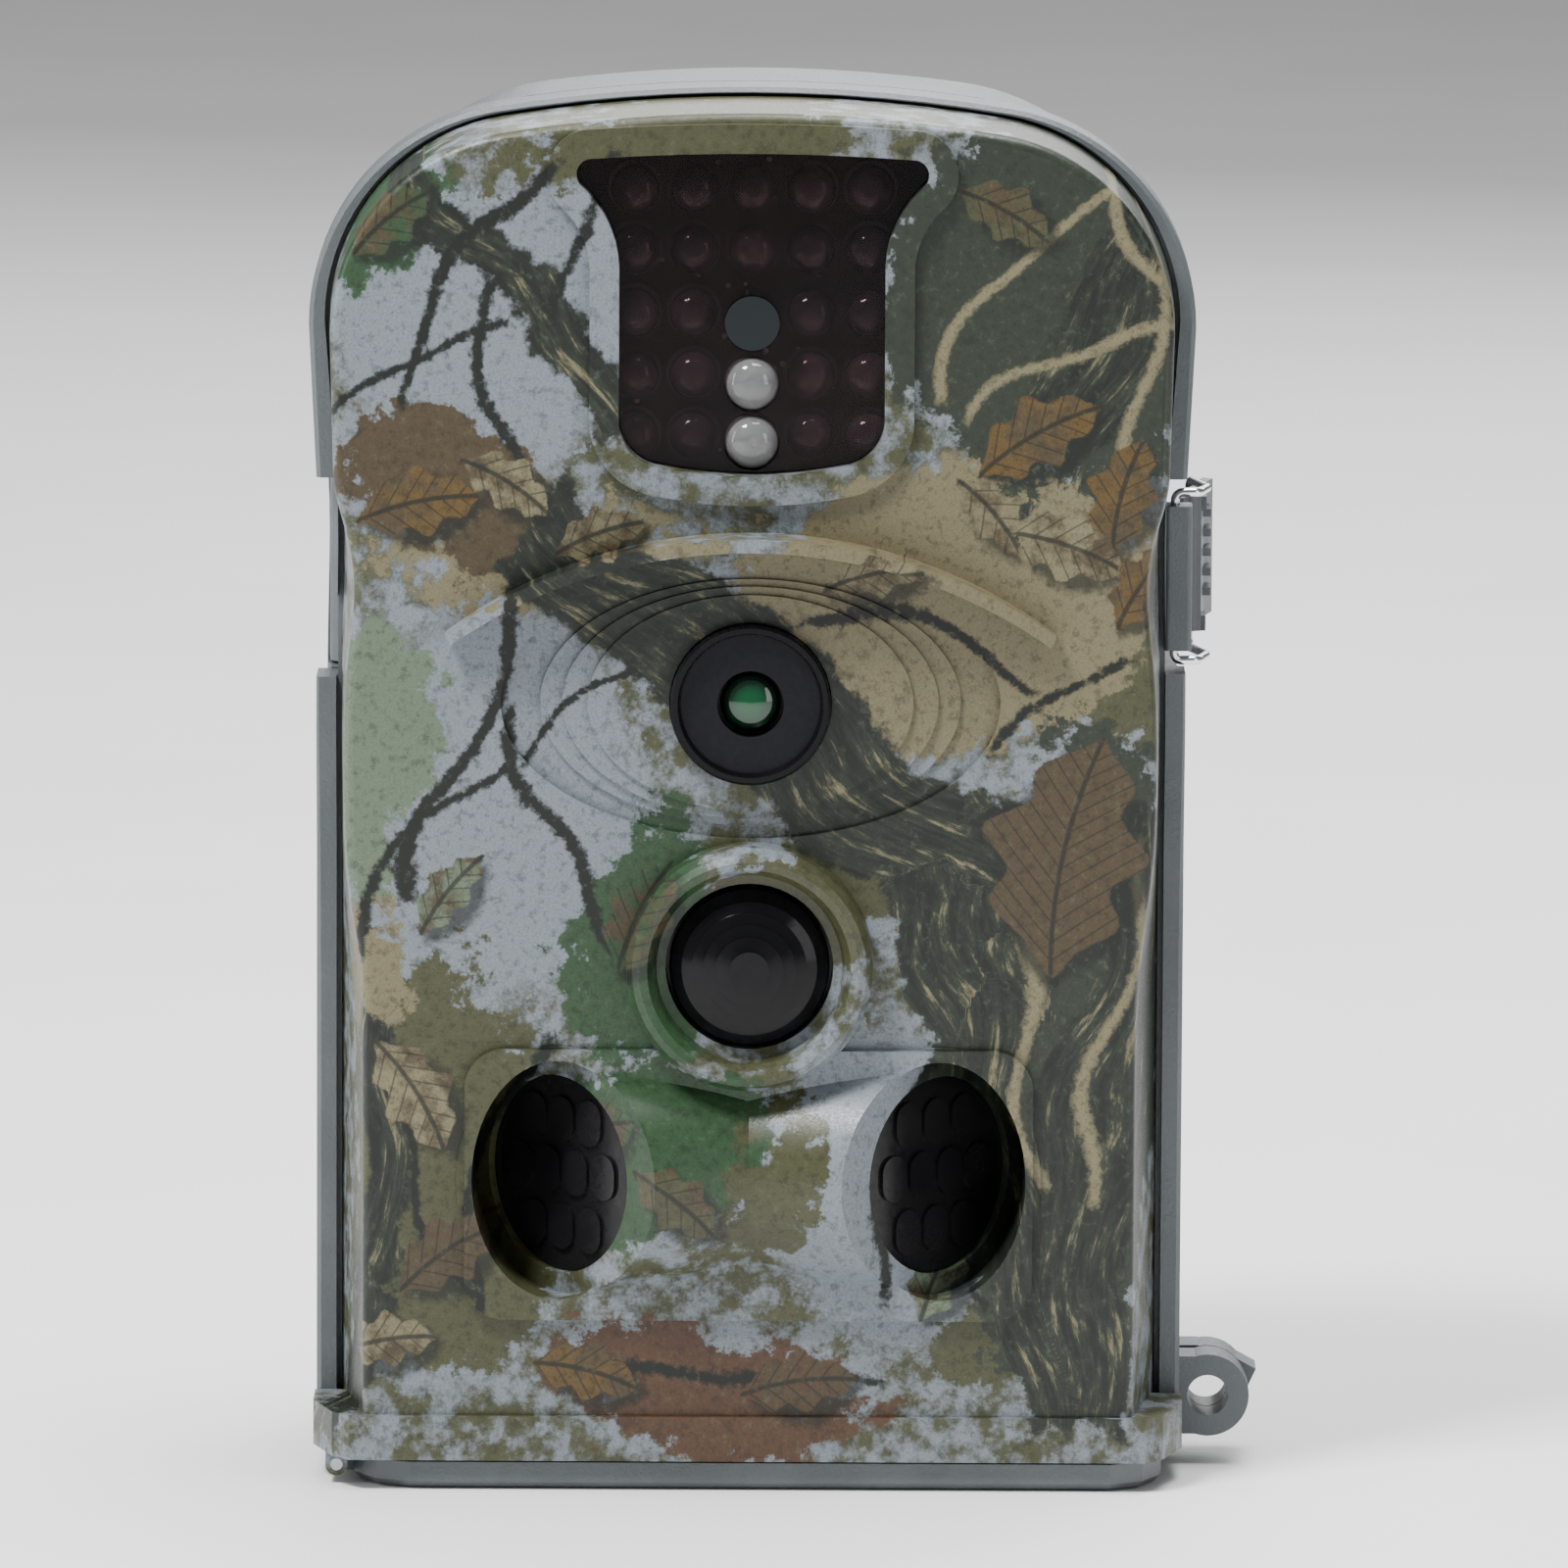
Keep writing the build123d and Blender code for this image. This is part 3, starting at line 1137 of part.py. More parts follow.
for name, spot, high, bore in (("av_jack", AV_X, 13.0, 1.8), ("dc_jack", DC_X, 11.0, 2.2)):
    with BuildPart() as jack:
        with BuildSketch(Plane.XY.offset(PANEL_LOW + 0.2)):
            with Locations((spot, JACK_Y)):
                Circle(2.8)
        extrude(amount=PANEL_HIGH - PANEL_LOW)
        with BuildSketch(Plane.XY.offset(PANEL_HIGH + 0.02)):
            with Locations((spot, JACK_Y)):
                Circle(3.4)
        extrude(amount=high)
        with BuildSketch(Plane.XY.offset(PANEL_LOW)):
            with Locations((spot, JACK_Y)):
                Circle(bore)
        extrude(amount=high - 1.0, mode=Mode.SUBTRACT)
        if name == "dc_jack":
            # centre pin
            with BuildSketch(Plane.XY.offset(PANEL_LOW + 1.0)):
                with Locations((spot, JACK_Y)):
                    Circle(0.6)
            extrude(amount=high - 1.0)
    jack.part.label = name
    export_step(jack.part, "parts/" + name + ".step")

# ---------------------------------------------------------------- bottom door
with BuildPart() as bottom_door:
    with BuildSketch(Plane.XY):
        with BuildLine():
            Polyline(
                (-39.3, -2.6), (-39.3, -17.0), (-37.0, -20.6), (-33.6, -21.9),
                (36.2, -21.9), (39.4, -20.4), (41.3, -16.8), (41.3, -2.6), (-39.3, -2.6),
            )
        make_face()
    extrude(amount=DOOR_TOP)
    chamfer(bottom_door.faces().sort_by(Axis.Z)[0].outer_wire().edges(), 0.7)
    # seal lip that enters the bay
    with BuildSketch(Plane.XY.offset(DOOR_TOP - 0.1)):
        with Locations((0, -12.3)):
            RectangleRounded(74.0, 15.4, 2.0)
            RectangleRounded(71.0, 12.4, 1.5, mode=Mode.SUBTRACT)
    extrude(amount=2.3)
    # knuckle between the two fixed ones
    with BuildSketch(facing(DOOR_KNUCKLES[1] - DOOR_KNUCKLE_LONG - 0.2)):
        with Locations((DOOR_PIN_X, DOOR_PIN_Z)):
            Circle(1.05)
        with Locations((DOOR_PIN_X + 1.1, DOOR_PIN_Z - 0.3)):
            Rectangle(2.2, 1.5)
        with Locations((DOOR_PIN_X, DOOR_PIN_Z)):
            Circle(0.65, mode=Mode.SUBTRACT)
    extrude(amount=DOOR_KNUCKLES[1] - DOOR_KNUCKLE_LONG - DOOR_KNUCKLES[0] - 0.4)
bottom_door.part.label = "bottom_door"
export_step(bottom_door.part, "parts/bottom_door.step")

with BuildPart() as door_pin:
    with BuildSketch(facing(DOOR_KNUCKLES[1] - 0.05)):
        with Locations((DOOR_PIN_X, DOOR_PIN_Z)):
            Circle(0.6)
    extrude(amount=DOOR_KNUCKLES[1] - DOOR_KNUCKLES[0] + DOOR_KNUCKLE_LONG - 0.1)
door_pin.part.label = "door_pin"
export_step(door_pin.part, "parts/door_pin.step")

# ---------------------------------------------------------------- latch
with BuildPart() as latch_bail:
    # one bent wire: pin, bowed arm, crossbar, bowed arm, pin
    with BuildLine() as wire_path:
        FilletPolyline(
            (BAIL_X, BAIL_Y, WIRE_HIGH - 4.2), (BAIL_X, BAIL_Y, WIRE_HIGH),
            (44.6, BAIL_Y + 0.4, WIRE_HIGH), (45.5, -2.0, WIRE_HIGH),
            (BAR_X, BAR_Y, WIRE_HIGH), (BAR_X, BAR_Y, WIRE_LOW),
            (45.5, -2.0, WIRE_LOW), (44.6, BAIL_Y + 0.4, WIRE_LOW),
            (BAIL_X, BAIL_Y, WIRE_LOW), (BAIL_X, BAIL_Y, WIRE_LOW + 4.2),
            radius=0.8,
        )
    with BuildSketch(Plane(wire_path.line @ 0, z_dir=wire_path.line % 0)):
        Circle(WIRE_R)
    sweep()
latch_bail.part.label = "latch_bail"
export_step(latch_bail.part, "parts/latch_bail.step")

LEVER_LOW = 83.0
LEVER_LONG = 13.6

with BuildPart() as latch_lever:
    # barrel round the crossbar, thumb plate, and nose that hooks behind the catch rib
    with BuildSketch(Plane.XY.offset(LEVER_LOW)):
        with Locations((BAR_X, BAR_Y)):
            Circle(1.2)
        with BuildLine():
            Polyline(
                (43.9, 2.85), (45.1, 3.2), (45.3, 9.0), (45.7, 14.0), (46.6, 17.6),
                (45.6, 18.2), (44.6, 14.6), (44.1, 9.0), (43.9, 2.85),
            )
        make_face()
        with BuildLine():
            Polyline((43.2, 3.4), (42.4, 3.2), (42.4, 2.05), (43.3, 2.05), (43.9, 3.0), (43.2, 3.4))
        make_face()
        with Locations((BAR_X, BAR_Y)):
            Circle(WIRE_R + 0.06, mode=Mode.SUBTRACT)
    extrude(amount=LEVER_LONG)
    # finger ridges on the outside of the plate
    with BuildSketch(facing(16.0)):
        with Locations([(45.5, LEVER_LOW + 2.8 + 2.0 * n) for n in range(5)]):
            Rectangle(1.6, 0.8)
    extrude(amount=4.0)
    # stiffening ears at the two ends of the barrel
    for foot in (LEVER_LOW, LEVER_LOW + LEVER_LONG - 1.5):
        with BuildSketch(Plane.XY.offset(foot)):
            with Locations((45.0, 5.2)):
                Rectangle(1.2, 3.6)
        extrude(amount=1.5)
latch_lever.part.label = "latch_lever"
export_step(latch_lever.part, "parts/latch_lever.step")
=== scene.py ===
import json
from math import cos, radians, sin

import bpy
import numpy as np
from mathutils import Matrix, Vector


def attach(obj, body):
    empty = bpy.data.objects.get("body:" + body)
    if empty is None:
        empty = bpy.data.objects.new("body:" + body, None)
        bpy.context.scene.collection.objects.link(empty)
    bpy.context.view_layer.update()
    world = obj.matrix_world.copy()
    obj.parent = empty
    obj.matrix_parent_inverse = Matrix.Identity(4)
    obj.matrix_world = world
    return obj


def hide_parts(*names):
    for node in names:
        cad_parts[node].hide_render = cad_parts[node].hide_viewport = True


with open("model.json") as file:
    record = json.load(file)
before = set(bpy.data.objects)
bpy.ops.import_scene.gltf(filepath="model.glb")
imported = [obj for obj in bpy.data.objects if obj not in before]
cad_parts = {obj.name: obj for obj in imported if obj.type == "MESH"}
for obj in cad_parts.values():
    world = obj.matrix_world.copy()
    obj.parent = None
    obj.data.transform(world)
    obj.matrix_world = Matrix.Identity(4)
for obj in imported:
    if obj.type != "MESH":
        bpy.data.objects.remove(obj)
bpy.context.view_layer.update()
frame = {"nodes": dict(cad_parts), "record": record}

# ------------------------------------------------------------------ small node builder
class Paint:
    """A material built node by node. Points are the piece's own coordinates, in millimetres."""

    def __init__(self, name):
        self.material = bpy.data.materials.new(name)
        self.material.use_nodes = True
        self.tree = self.material.node_tree
        self.shader = self.tree.nodes["Principled BSDF"]
        self.output = self.tree.nodes["Material Output"]
        place = self.node("ShaderNodeTexCoord")
        self.point = self.vector("SCALE", place.outputs["Object"], scale=1000.0)

    def node(self, kind, **settings):
        made = self.tree.nodes.new(kind)
        for key, value in settings.items():
            setattr(made, key, value)
        return made

    def feed(self, socket, value):
        if isinstance(value, bpy.types.NodeSocket):
            self.tree.links.new(value, socket)
        else:
            socket.default_value = value

    def vector(self, operation, first, second=None, scale=None):
        made = self.node("ShaderNodeVectorMath", operation=operation)
        self.feed(made.inputs[0], first)
        if second is not None:
            self.feed(made.inputs[1], second)
        if scale is not None:
            self.feed(made.inputs["Scale"], scale)
        return made.outputs["Value" if operation == "LENGTH" else "Vector"]

    def math(self, operation, first, second=None):
        made = self.node("ShaderNodeMath", operation=operation)
        self.feed(made.inputs[0], first)
        if second is not None:
            self.feed(made.inputs[1], second)
        return made.outputs[0]

    def noise(self, point, scale, detail=3.0, rough=0.55, output="Fac"):
        made = self.node("ShaderNodeTexNoise")
        self.feed(made.inputs["Vector"], point)
        made.inputs["Scale"].default_value = scale
        made.inputs["Detail"].default_value = detail
        made.inputs["Roughness"].default_value = rough
        return made.outputs[output]

    def place(self, point, spot, turn, size):
        """The point measured from spot, turned about Y and divided by size."""
        made = self.node("ShaderNodeMapping", vector_type="TEXTURE")
        self.feed(made.inputs["Vector"], point)
        made.inputs["Location"].default_value = spot
        made.inputs["Rotation"].default_value = (0, radians(-turn), 0)
        made.inputs["Scale"].default_value = size
        return made.outputs[0]

    def split(self, point):
        made = self.node("ShaderNodeSeparateXYZ")
        self.feed(made.inputs[0], point)
        return made.outputs

    def step(self, value, low, high, first=0.0, last=1.0):
        made = self.node("ShaderNodeMapRange", interpolation_type="SMOOTHSTEP")
        self.feed(made.inputs["Value"], value)
        made.inputs["From Min"].default_value = low
        made.inputs["From Max"].default_value = high
        made.inputs["To Min"].default_value = first
        made.inputs["To Max"].default_value = last
        return made.outputs[0]

    def mix(self, share, first, second, blend="MIX"):
        made = self.node("ShaderNodeMix", data_type="RGBA", blend_type=blend)
        self.feed(made.inputs["Factor"], share)
        self.feed(made.inputs[6], first if not isinstance(first, tuple) else (*first, 1.0))
        self.feed(made.inputs[7], second if not isinstance(second, tuple) else (*second, 1.0))
        return made.outputs[2]

    def bump(self, height, strength, depth):
        made = self.node("ShaderNodeBump")
        made.inputs["Strength"].default_value = strength
        made.inputs["Distance"].default_value = depth
        self.feed(made.inputs["Height"], height)
        self.feed(self.shader.inputs["Normal"], made.outputs[0])

    def colour(self, value):
        self.feed(self.shader.inputs["Base Color"], value)

    def set(self, **values):
        for key, value in values.items():
            self.shader.inputs[key.replace("_", " ")].default_value = value


def plain(
    name, light, dark, rough, grain=2.5, wear=0.25, metal=0.0, bump=0.0, coat=0.0,
    streak=(1, 1, 1), shine=0.5,
):
    """Two close tones in cloudy patches, fine grain in tone, gloss and surface."""
    paint = Paint(name)
    cloud = paint.noise(paint.vector("MULTIPLY", paint.point, streak), 0.09, 4.0)
    speck = paint.noise(paint.vector("MULTIPLY", paint.point, streak), grain, 2.0)
    tone = paint.mix(paint.step(cloud, 0.38, 0.62), dark, light)
    paint.colour(paint.mix(paint.step(speck, 0.3, 0.75, 0.0, wear), tone, dark))
    gloss = paint.step(speck, 0.25, 0.8, rough - 0.05, rough + 0.07)
    paint.feed(paint.shader.inputs["Roughness"], gloss)
    paint.set(Metallic=metal, Coat_Weight=coat, Specular_IOR_Level=shine)
    if bump:
        paint.bump(speck, bump, 0.0002)
    return paint.material


# ------------------------------------------------------------------ woodland print on the cover
# colours
BLUE_GREY = (0.175, 0.200, 0.225)
PALE = (0.110, 0.145, 0.098)
GREEN = (0.022, 0.055, 0.022)
OLIVE = (0.052, 0.054, 0.024)
KHAKI = (0.155, 0.135, 0.076)
TAN = (0.170, 0.150, 0.085)
GOLD = (0.090, 0.054, 0.014)
BROWN = (0.056, 0.040, 0.020)
RED_BROWN = (0.068, 0.034, 0.017)
BARK = (0.020, 0.027, 0.018)
DARK = (0.006, 0.008, 0.006)

# ground patches: x, z, half width, half height, turn, colour
PATCHES = (
    (-27, 116, 15, 16, 0, BLUE_GREY), (-35, 129, 8, 6, 20, GREEN), (-6, 134, 18, 5, 0, OLIVE),
    (-31, 100, 13, 7, -10, BROWN), (-21, 95, 17, 5, 4, KHAKI), (20, 89, 24, 13, 8, KHAKI),
    (30, 119, 16, 20, 10, BARK), (38, 84, 7, 9, 0, OLIVE), (-25, 70, 14, 21, 5, BLUE_GREY),
    (-37, 74, 5, 14, 0, PALE), (-11, 56, 7, 12, -12, GREEN), (6, 60, 11, 7, 15, OLIVE),
    (32, 42, 13, 36, 0, BARK), (-30, 31, 13, 21, 0, OLIVE), (-10, 34, 11, 10, 20, GREEN),
    (14, 31, 13, 14, -10, BLUE_GREY), (1, 30, 4, 8, 0, OLIVE), (-3, 10, 16, 6, 0, RED_BROWN),
    (-7, 10, 5, 5, 0, BLUE_GREY), (-37, 50, 5, 8, 0, KHAKI), (26, 16, 9, 6, 10, OLIVE),
)
# trunks: x, z, half length, half width, turn
TRUNKS = (
    (2.5, 79, 30, 6.0, -39), (21, 58, 14, 5.0, -72), (-22.5, 120, 17, 2.4, -51),
    (36, 36, 32, 5.5, 84), (27, 30, 26, 4.0, 96), (-39, 25, 20, 2.6, 80), (37, 120, 20, 4.5, 72),
)
# leaves: x, z, half length, half width, turn, colour
LEAVES = (
    (28, 106, 7.0, 3.2, 30, GOLD), (36.5, 100, 6.0, 3.0, 75, GOLD), (31, 95, 6.6, 3.1, -18, TAN),
    (38.5, 91, 5.0, 2.5, 55, GOLD), (24, 98, 5.2, 2.3, -50, KHAKI), (31, 64, 12.5, 7.0, 78, BROWN),
    (-33, 99, 6.4, 3.0, 12, GOLD), (-24, 101, 5.2, 2.4, -32, TAN), (-15, 96, 5.0, 2.2, 20, KHAKI),
    (-36, 127, 5.0, 2.6, 40, GREEN), (-11, 58, 6.4, 3.0, 64, GREEN), (-17, 36, 6.2, 3.2, 24, GREEN),
    (-7, 30, 5.4, 2.6, -40, OLIVE), (-33, 40, 6.6, 3.2, -58, TAN), (-30, 24, 6.2, 3.0, 35, BROWN),
    (-36, 15, 5.0, 2.4, 10, KHAKI), (5, 11, 6.0, 2.8, 8, RED_BROWN), (-16, 12, 5.6, 2.6, -14, GOLD),
    (19, 22, 5.2, 2.6, 62, PALE), (12, 92, 5.4, 2.2, 14, TAN), (25, 128, 5.4, 2.5, -30, OLIVE),
    (-30, 60, 5.2, 2.1, 52, PALE),
)
# twigs: x, z, half length, half width, turn, colour
TWIGS = (
    (-29, 121, 15, 0.55, 62, DARK), (-34, 112, 12, 0.45, 20, DARK), (-24, 109, 11, 0.5, 105, DARK),
    (-19, 124, 9, 0.4, 80, DARK), (-29, 77, 19, 0.6, 74, DARK), (-22, 66, 14, 0.5, 118, DARK),
    (-33, 64, 13, 0.45, 58, DARK), (-18, 79, 9, 0.4, 35, DARK), (26, 122, 15, 0.5, 58, TAN),
    (34, 127, 12, 0.45, 108, TAN), (31, 112, 11, 0.4, 25, TAN), (38, 116, 12, 0.4, 84, TAN),
    (17, 86, 11, 0.45, -12, DARK), (30, 82, 10, 0.4, 28, DARK), (13, 33, 11, 0.45, 66, DARK),
    (18, 27, 9, 0.4, 110, DARK), (-26, 33, 15, 0.5, 70, DARK), (-34, 31, 12, 0.4, 102, DARK),
    (0, 13, 13, 0.4, 6, DARK), (28, 50, 17, 0.45, 92, TAN), (35, 47, 17, 0.4, 86, TAN),
)


COLOURS = (BLUE_GREY, PALE, GREEN, OLIVE, KHAKI, BROWN, RED_BROWN, BARK)
FINE, COARSE = 0.75, 6.0   # longest edge on the printed outside, and elsewhere, in mm
MM = 1000.0                # millimetres in the frame's unit
FAR_OUT = 20.0             # a distance that is outside every printed shape, in mm
COVER_BACK = -6.5          # the cover's rear edge, y
COVER_FACE = -22.0         # the cover's flat face, y
SIDE_FROM = 35.0           # beyond this |x| the cover turns into its side walls
CROWN_FROM = 118.0         # above this z it turns into its crown
SIDE_SLANT = 0.35          # how far the print slides along a side wall, per mm of depth


def split_long_edges(corners, triangles, normals, printed):
    """Halves every edge that is too long, until none is, and keeps the mesh closed."""
    while True:
        pairs = np.sort(np.stack([triangles, np.roll(triangles, -1, 1)], 2).reshape(-1, 2), 1)
        edges, which = np.unique(pairs, axis=0, return_inverse=True)
        which = which.reshape(-1, 3)
        limit = np.full(len(edges), COARSE)
        limit[which[printed].ravel()] = FINE
        long = np.linalg.norm(corners[edges[:, 0]] - corners[edges[:, 1]], axis=1) > limit
        if not long.any():
            return corners, triangles, normals
        middle = np.full(len(edges), -1)
        middle[long] = len(corners) + np.arange(long.sum())
        corners = np.vstack([corners, (corners[edges[long, 0]] + corners[edges[long, 1]]) / 2])
        halves = normals + np.roll(normals, -1, 1)
        halves /= np.maximum(np.linalg.norm(halves, axis=2, keepdims=True), 1e-9)
        made = middle[which]
        cut = (made >= 0) @ np.array([1, 2, 4])
        faces, turns, kinds = [], [], []
        # corners 0-2 are a triangle's own, 3-5 the middles of its edges
        patterns = {
            0: [(0, 1, 2)],
            1: [(0, 3, 2), (3, 1, 2)],
            2: [(0, 1, 4), (0, 4, 2)],
            4: [(0, 1, 5), (5, 1, 2)],
            3: [(3, 1, 4), (0, 3, 4), (0, 4, 2)],
            6: [(4, 2, 5), (0, 1, 4), (0, 4, 5)],
            5: [(0, 3, 5), (3, 1, 2), (3, 2, 5)],
            7: [(0, 3, 5), (3, 1, 4), (5, 4, 2), (3, 4, 5)],
        }
        points = np.hstack([triangles, made])
        senses = np.concatenate([normals, halves], axis=1)
        for kind, parts in patterns.items():
            chosen = cut == kind
            for part in parts:
                faces.append(points[chosen][:, part])
                turns.append(senses[chosen][:, part])
                kinds.append(printed[chosen])
        triangles, normals = np.vstack(faces), np.vstack(turns)
        printed = np.concatenate(kinds)


def local(points, x, z, turn):
    """The points measured along and across a line through x, z."""
    a = radians(turn)
    return (
        (points[:, 0] - x) * cos(a) + (points[:, 1] - z) * sin(a),
        (points[:, 1] - z) * cos(a) - (points[:, 0] - x) * sin(a),
    )


def fine_cover(source):
    """The cover's own surface in small facets: fine on the printed outside, coarse elsewhere."""
    mesh = source.data
    places = np.zeros(len(mesh.vertices) * 3)
    mesh.vertices.foreach_get("co", places)
    places = places.reshape(-1, 3) * MM
    mesh.calc_loop_triangles()
    spots = np.zeros(len(mesh.loop_triangles) * 3, int)
    mesh.loop_triangles.foreach_get("vertices", spots)
    loops = np.zeros(len(mesh.loop_triangles) * 3, int)
    mesh.loop_triangles.foreach_get("loops", loops)
    turns = np.zeros(len(mesh.loops) * 3)
    mesh.corner_normals.foreach_get("vector", turns)
    turns = turns.reshape(-1, 3)[loops].reshape(-1, 3, 3)
    corners, merged = np.unique(np.round(places, 4), axis=0, return_inverse=True)
    triangles = merged.ravel()[spots].reshape(-1, 3)
    sound = (triangles[:, 0] != triangles[:, 1]) & (triangles[:, 1] != triangles[:, 2])
    sound &= triangles[:, 0] != triangles[:, 2]
    triangles, turns = triangles[sound], turns[sound]
    facing = turns.mean(1)
    middle = corners[triangles].mean(1)
    outward = facing[:, 0] * np.sign(middle[:, 0])
    rim = (np.abs(middle[:, 0]) > SIDE_FROM) & (outward > 0.3)
    crown = (middle[:, 2] > CROWN_FROM) & (outward + facing[:, 2] > 0.3)
    printed = ((facing[:, 1] < -0.15) & (middle[:, 1] < COVER_BACK)) | rim | crown
    return split_long_edges(corners, triangles, turns, printed)


def cover_marks(corners):
    """Per corner: how far outside each kind of printed shape it is, in mm, and where it is along it."""
    x, y, z = corners.T
    wall = np.sign(x) * (np.abs(x) > SIDE_FROM + 1)
    flat = np.stack([x + SIDE_SLANT * (y - COVER_FACE) * wall, z], 1)
    bent = flat + np.stack([
        2.2 * np.sin(0.13 * x + 0.09 * z + 1.0) + 0.9 * np.sin(0.31 * z - 0.17 * x + 0.6),
        2.0 * np.sin(0.11 * x - 0.12 * z + 2.1) + 0.8 * np.sin(0.29 * x + 0.21 * z),
    ], 1)
    marks = {}
    patch = np.full((len(COLOURS), len(x)), FAR_OUT)
    for px, pz, wide, high, turn, colour in PATCHES:
        u, v = local(bent, px, pz, turn)
        reach = (np.hypot(u / wide, v / high) - 1) * min(wide, high)
        kind = COLOURS.index(colour)
        patch[kind] = np.minimum(patch[kind], reach)
    for kind in range(len(COLOURS)):
        marks["patch%d" % kind] = patch[kind]
    trunk, along, across = np.full(len(x), FAR_OUT), np.zeros(len(x)), np.zeros(len(x))
    for px, pz, long, wide, turn in TRUNKS:
        u, v = local(bent, px, pz, turn)
        reach = np.maximum(np.abs(v) - wide, np.abs(u) - long)
        nearer = reach < trunk
        trunk[nearer], along[nearer], across[nearer] = reach[nearer], u[nearer], v[nearer]
    marks.update(trunk=trunk, along=along, across=across)
    for name, pick in (("dark_twig", DARK), ("light_twig", TAN)):
        twig = np.full(len(x), FAR_OUT)
        for px, pz, long, wide, turn, colour in TWIGS:
            if colour == pick:
                u, v = local(bent, px, pz, turn)
                bow = v + 2.2 * (u / long) ** 2
                reach = np.maximum(np.abs(bow) - wide * 1.3, (np.abs(u) - long) * 0.5)
                twig = np.minimum(twig, reach)
        marks[name] = twig
    leaf, rib, vein = np.full(len(x), FAR_OUT), np.full(len(x), FAR_OUT), np.zeros(len(x))
    shade = np.full(len(x), FAR_OUT)
    tint = np.zeros((len(x), 4))
    for px, pz, long, wide, turn, colour in LEAVES:
        u, v = local(flat, px, pz, turn)
        bow = v + 0.12 * u * u / long
        lobes = 1.0 + 0.22 * np.sin(u / long * 10.5 + 0.6)
        reach = np.maximum((np.abs(bow) - wide * lobes * (1 - (u / long) ** 2)), np.abs(u) - long)
        nearer = reach < leaf
        leaf[nearer], rib[nearer] = reach[nearer], bow[nearer]
        vein[nearer] = (u - np.abs(bow) * 0.9)[nearer]
        tint[nearer] = (*colour, 1.0)
        u, v = local(flat, px + 0.9, pz - 1.1, turn)
        reach = np.maximum(np.abs(v) - wide * 1.15 * (1 - (u / long) ** 2), np.abs(u) - long)
        shade = np.minimum(shade, reach)
    marks.update(leaf=leaf, rib=rib, vein=vein, shade=shade)
    return marks, tint


def printed_cover():
    source = frame["nodes"]["front_cover"]
    corners, triangles, turns = fine_cover(source)
    marks, tint = cover_marks(corners)
    mesh = bpy.data.meshes.new("camo_cover")
    mesh.from_pydata(corners / MM, [], triangles.tolist())
    mesh.polygons.foreach_set("use_smooth", np.ones(len(triangles), bool))
    mesh.normals_split_custom_set(turns.reshape(-1, 3))
    for name, values in marks.items():
        held = mesh.attributes.new(name, "FLOAT", "POINT")
        held.data.foreach_set("value", values.astype(np.float32))
    held = mesh.attributes.new("tint", "FLOAT_COLOR", "POINT")
    held.data.foreach_set("color", tint.astype(np.float32).ravel())
    piece = bpy.data.objects.new("camo_cover", mesh)
    bpy.context.scene.collection.objects.link(piece)
    mesh.materials.append(woodland())
    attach(piece, "front")
    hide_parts("front_cover")


def woodland():
    paint = Paint("woodland print")

    def mark(name, output="Fac"):
        return paint.node("ShaderNodeAttribute", attribute_name=name).outputs[output]

    def inside(name, ragged, soft=0.25):
        return paint.step(paint.math("ADD", mark(name), ragged), -soft, soft, 1.0, 0.0)

    coarse = paint.noise(paint.point, 0.30, 6.0, 0.68)
    fleck = paint.noise(paint.point, 0.95, 6.0, 0.72)
    grain = paint.noise(paint.point, 4.5, 2.0)
    torn = paint.math("MULTIPLY", paint.math("SUBTRACT", coarse, 0.5), 13.0)
    rough = paint.math("MULTIPLY", paint.math("SUBTRACT", fleck, 0.5), 2.2)
    tone = paint.mix(paint.step(coarse, 0.42, 0.60), OLIVE, BLUE_GREY)
    for kind, colour in enumerate(COLOURS):
        tone = paint.mix(inside("patch%d" % kind, torn, 0.45), tone, colour)
    lay = paint.node("ShaderNodeCombineXYZ")
    paint.feed(lay.inputs[0], paint.math("MULTIPLY", mark("along"), 0.16))
    paint.feed(lay.inputs[1], mark("across"))
    streak = paint.noise(lay.outputs[0], 0.75, 6.0, 0.7)
    bark = paint.mix(paint.step(streak, 0.40, 0.60), DARK, BARK)
    bark = paint.mix(paint.step(streak, 0.55, 0.66), bark, TAN)
    tone = paint.mix(inside("trunk", paint.math("MULTIPLY", torn, 0.45), 0.4), tone, bark)
    tone = paint.mix(inside("dark_twig", rough, 0.3), tone, DARK)
    tone = paint.mix(inside("light_twig", rough, 0.3), tone, TAN)
    tone = paint.mix(paint.math("MULTIPLY", inside("shade", rough, 0.8), 0.8), tone, DARK)
    leaf = inside("leaf", paint.math("MULTIPLY", rough, 0.7), 0.15)
    blade = paint.mix(paint.step(coarse, 0.40, 0.62), mark("tint", "Color"), BROWN)
    rib = paint.step(paint.math("ABSOLUTE", mark("rib")), 0.12, 0.34, 0.8, 0.0)
    comb = paint.step(paint.math("SINE", paint.math("MULTIPLY", mark("vein"), 3.4)), 0.86, 0.98, 0.0, 0.6)
    blade = paint.mix(paint.math("MAXIMUM", rib, comb), blade, DARK)
    tone = paint.mix(leaf, tone, blade)
    tone = paint.mix(paint.step(fleck, 0.36, 0.50, 0.42, 0.0), tone, DARK)
    tone = paint.mix(paint.step(fleck, 0.54, 0.72, 0.0, 0.30), tone, PALE)
    tone = paint.mix(paint.step(grain, 0.3, 0.7, 0.0, 0.25), tone, DARK)
    paint.colour(tone)
    paint.feed(paint.shader.inputs["Roughness"], paint.step(grain, 0.3, 0.7, 0.34, 0.46))
    paint.set(Specular_IOR_Level=0.35)
    paint.bump(grain, 0.12, 0.0001)
    return paint.material


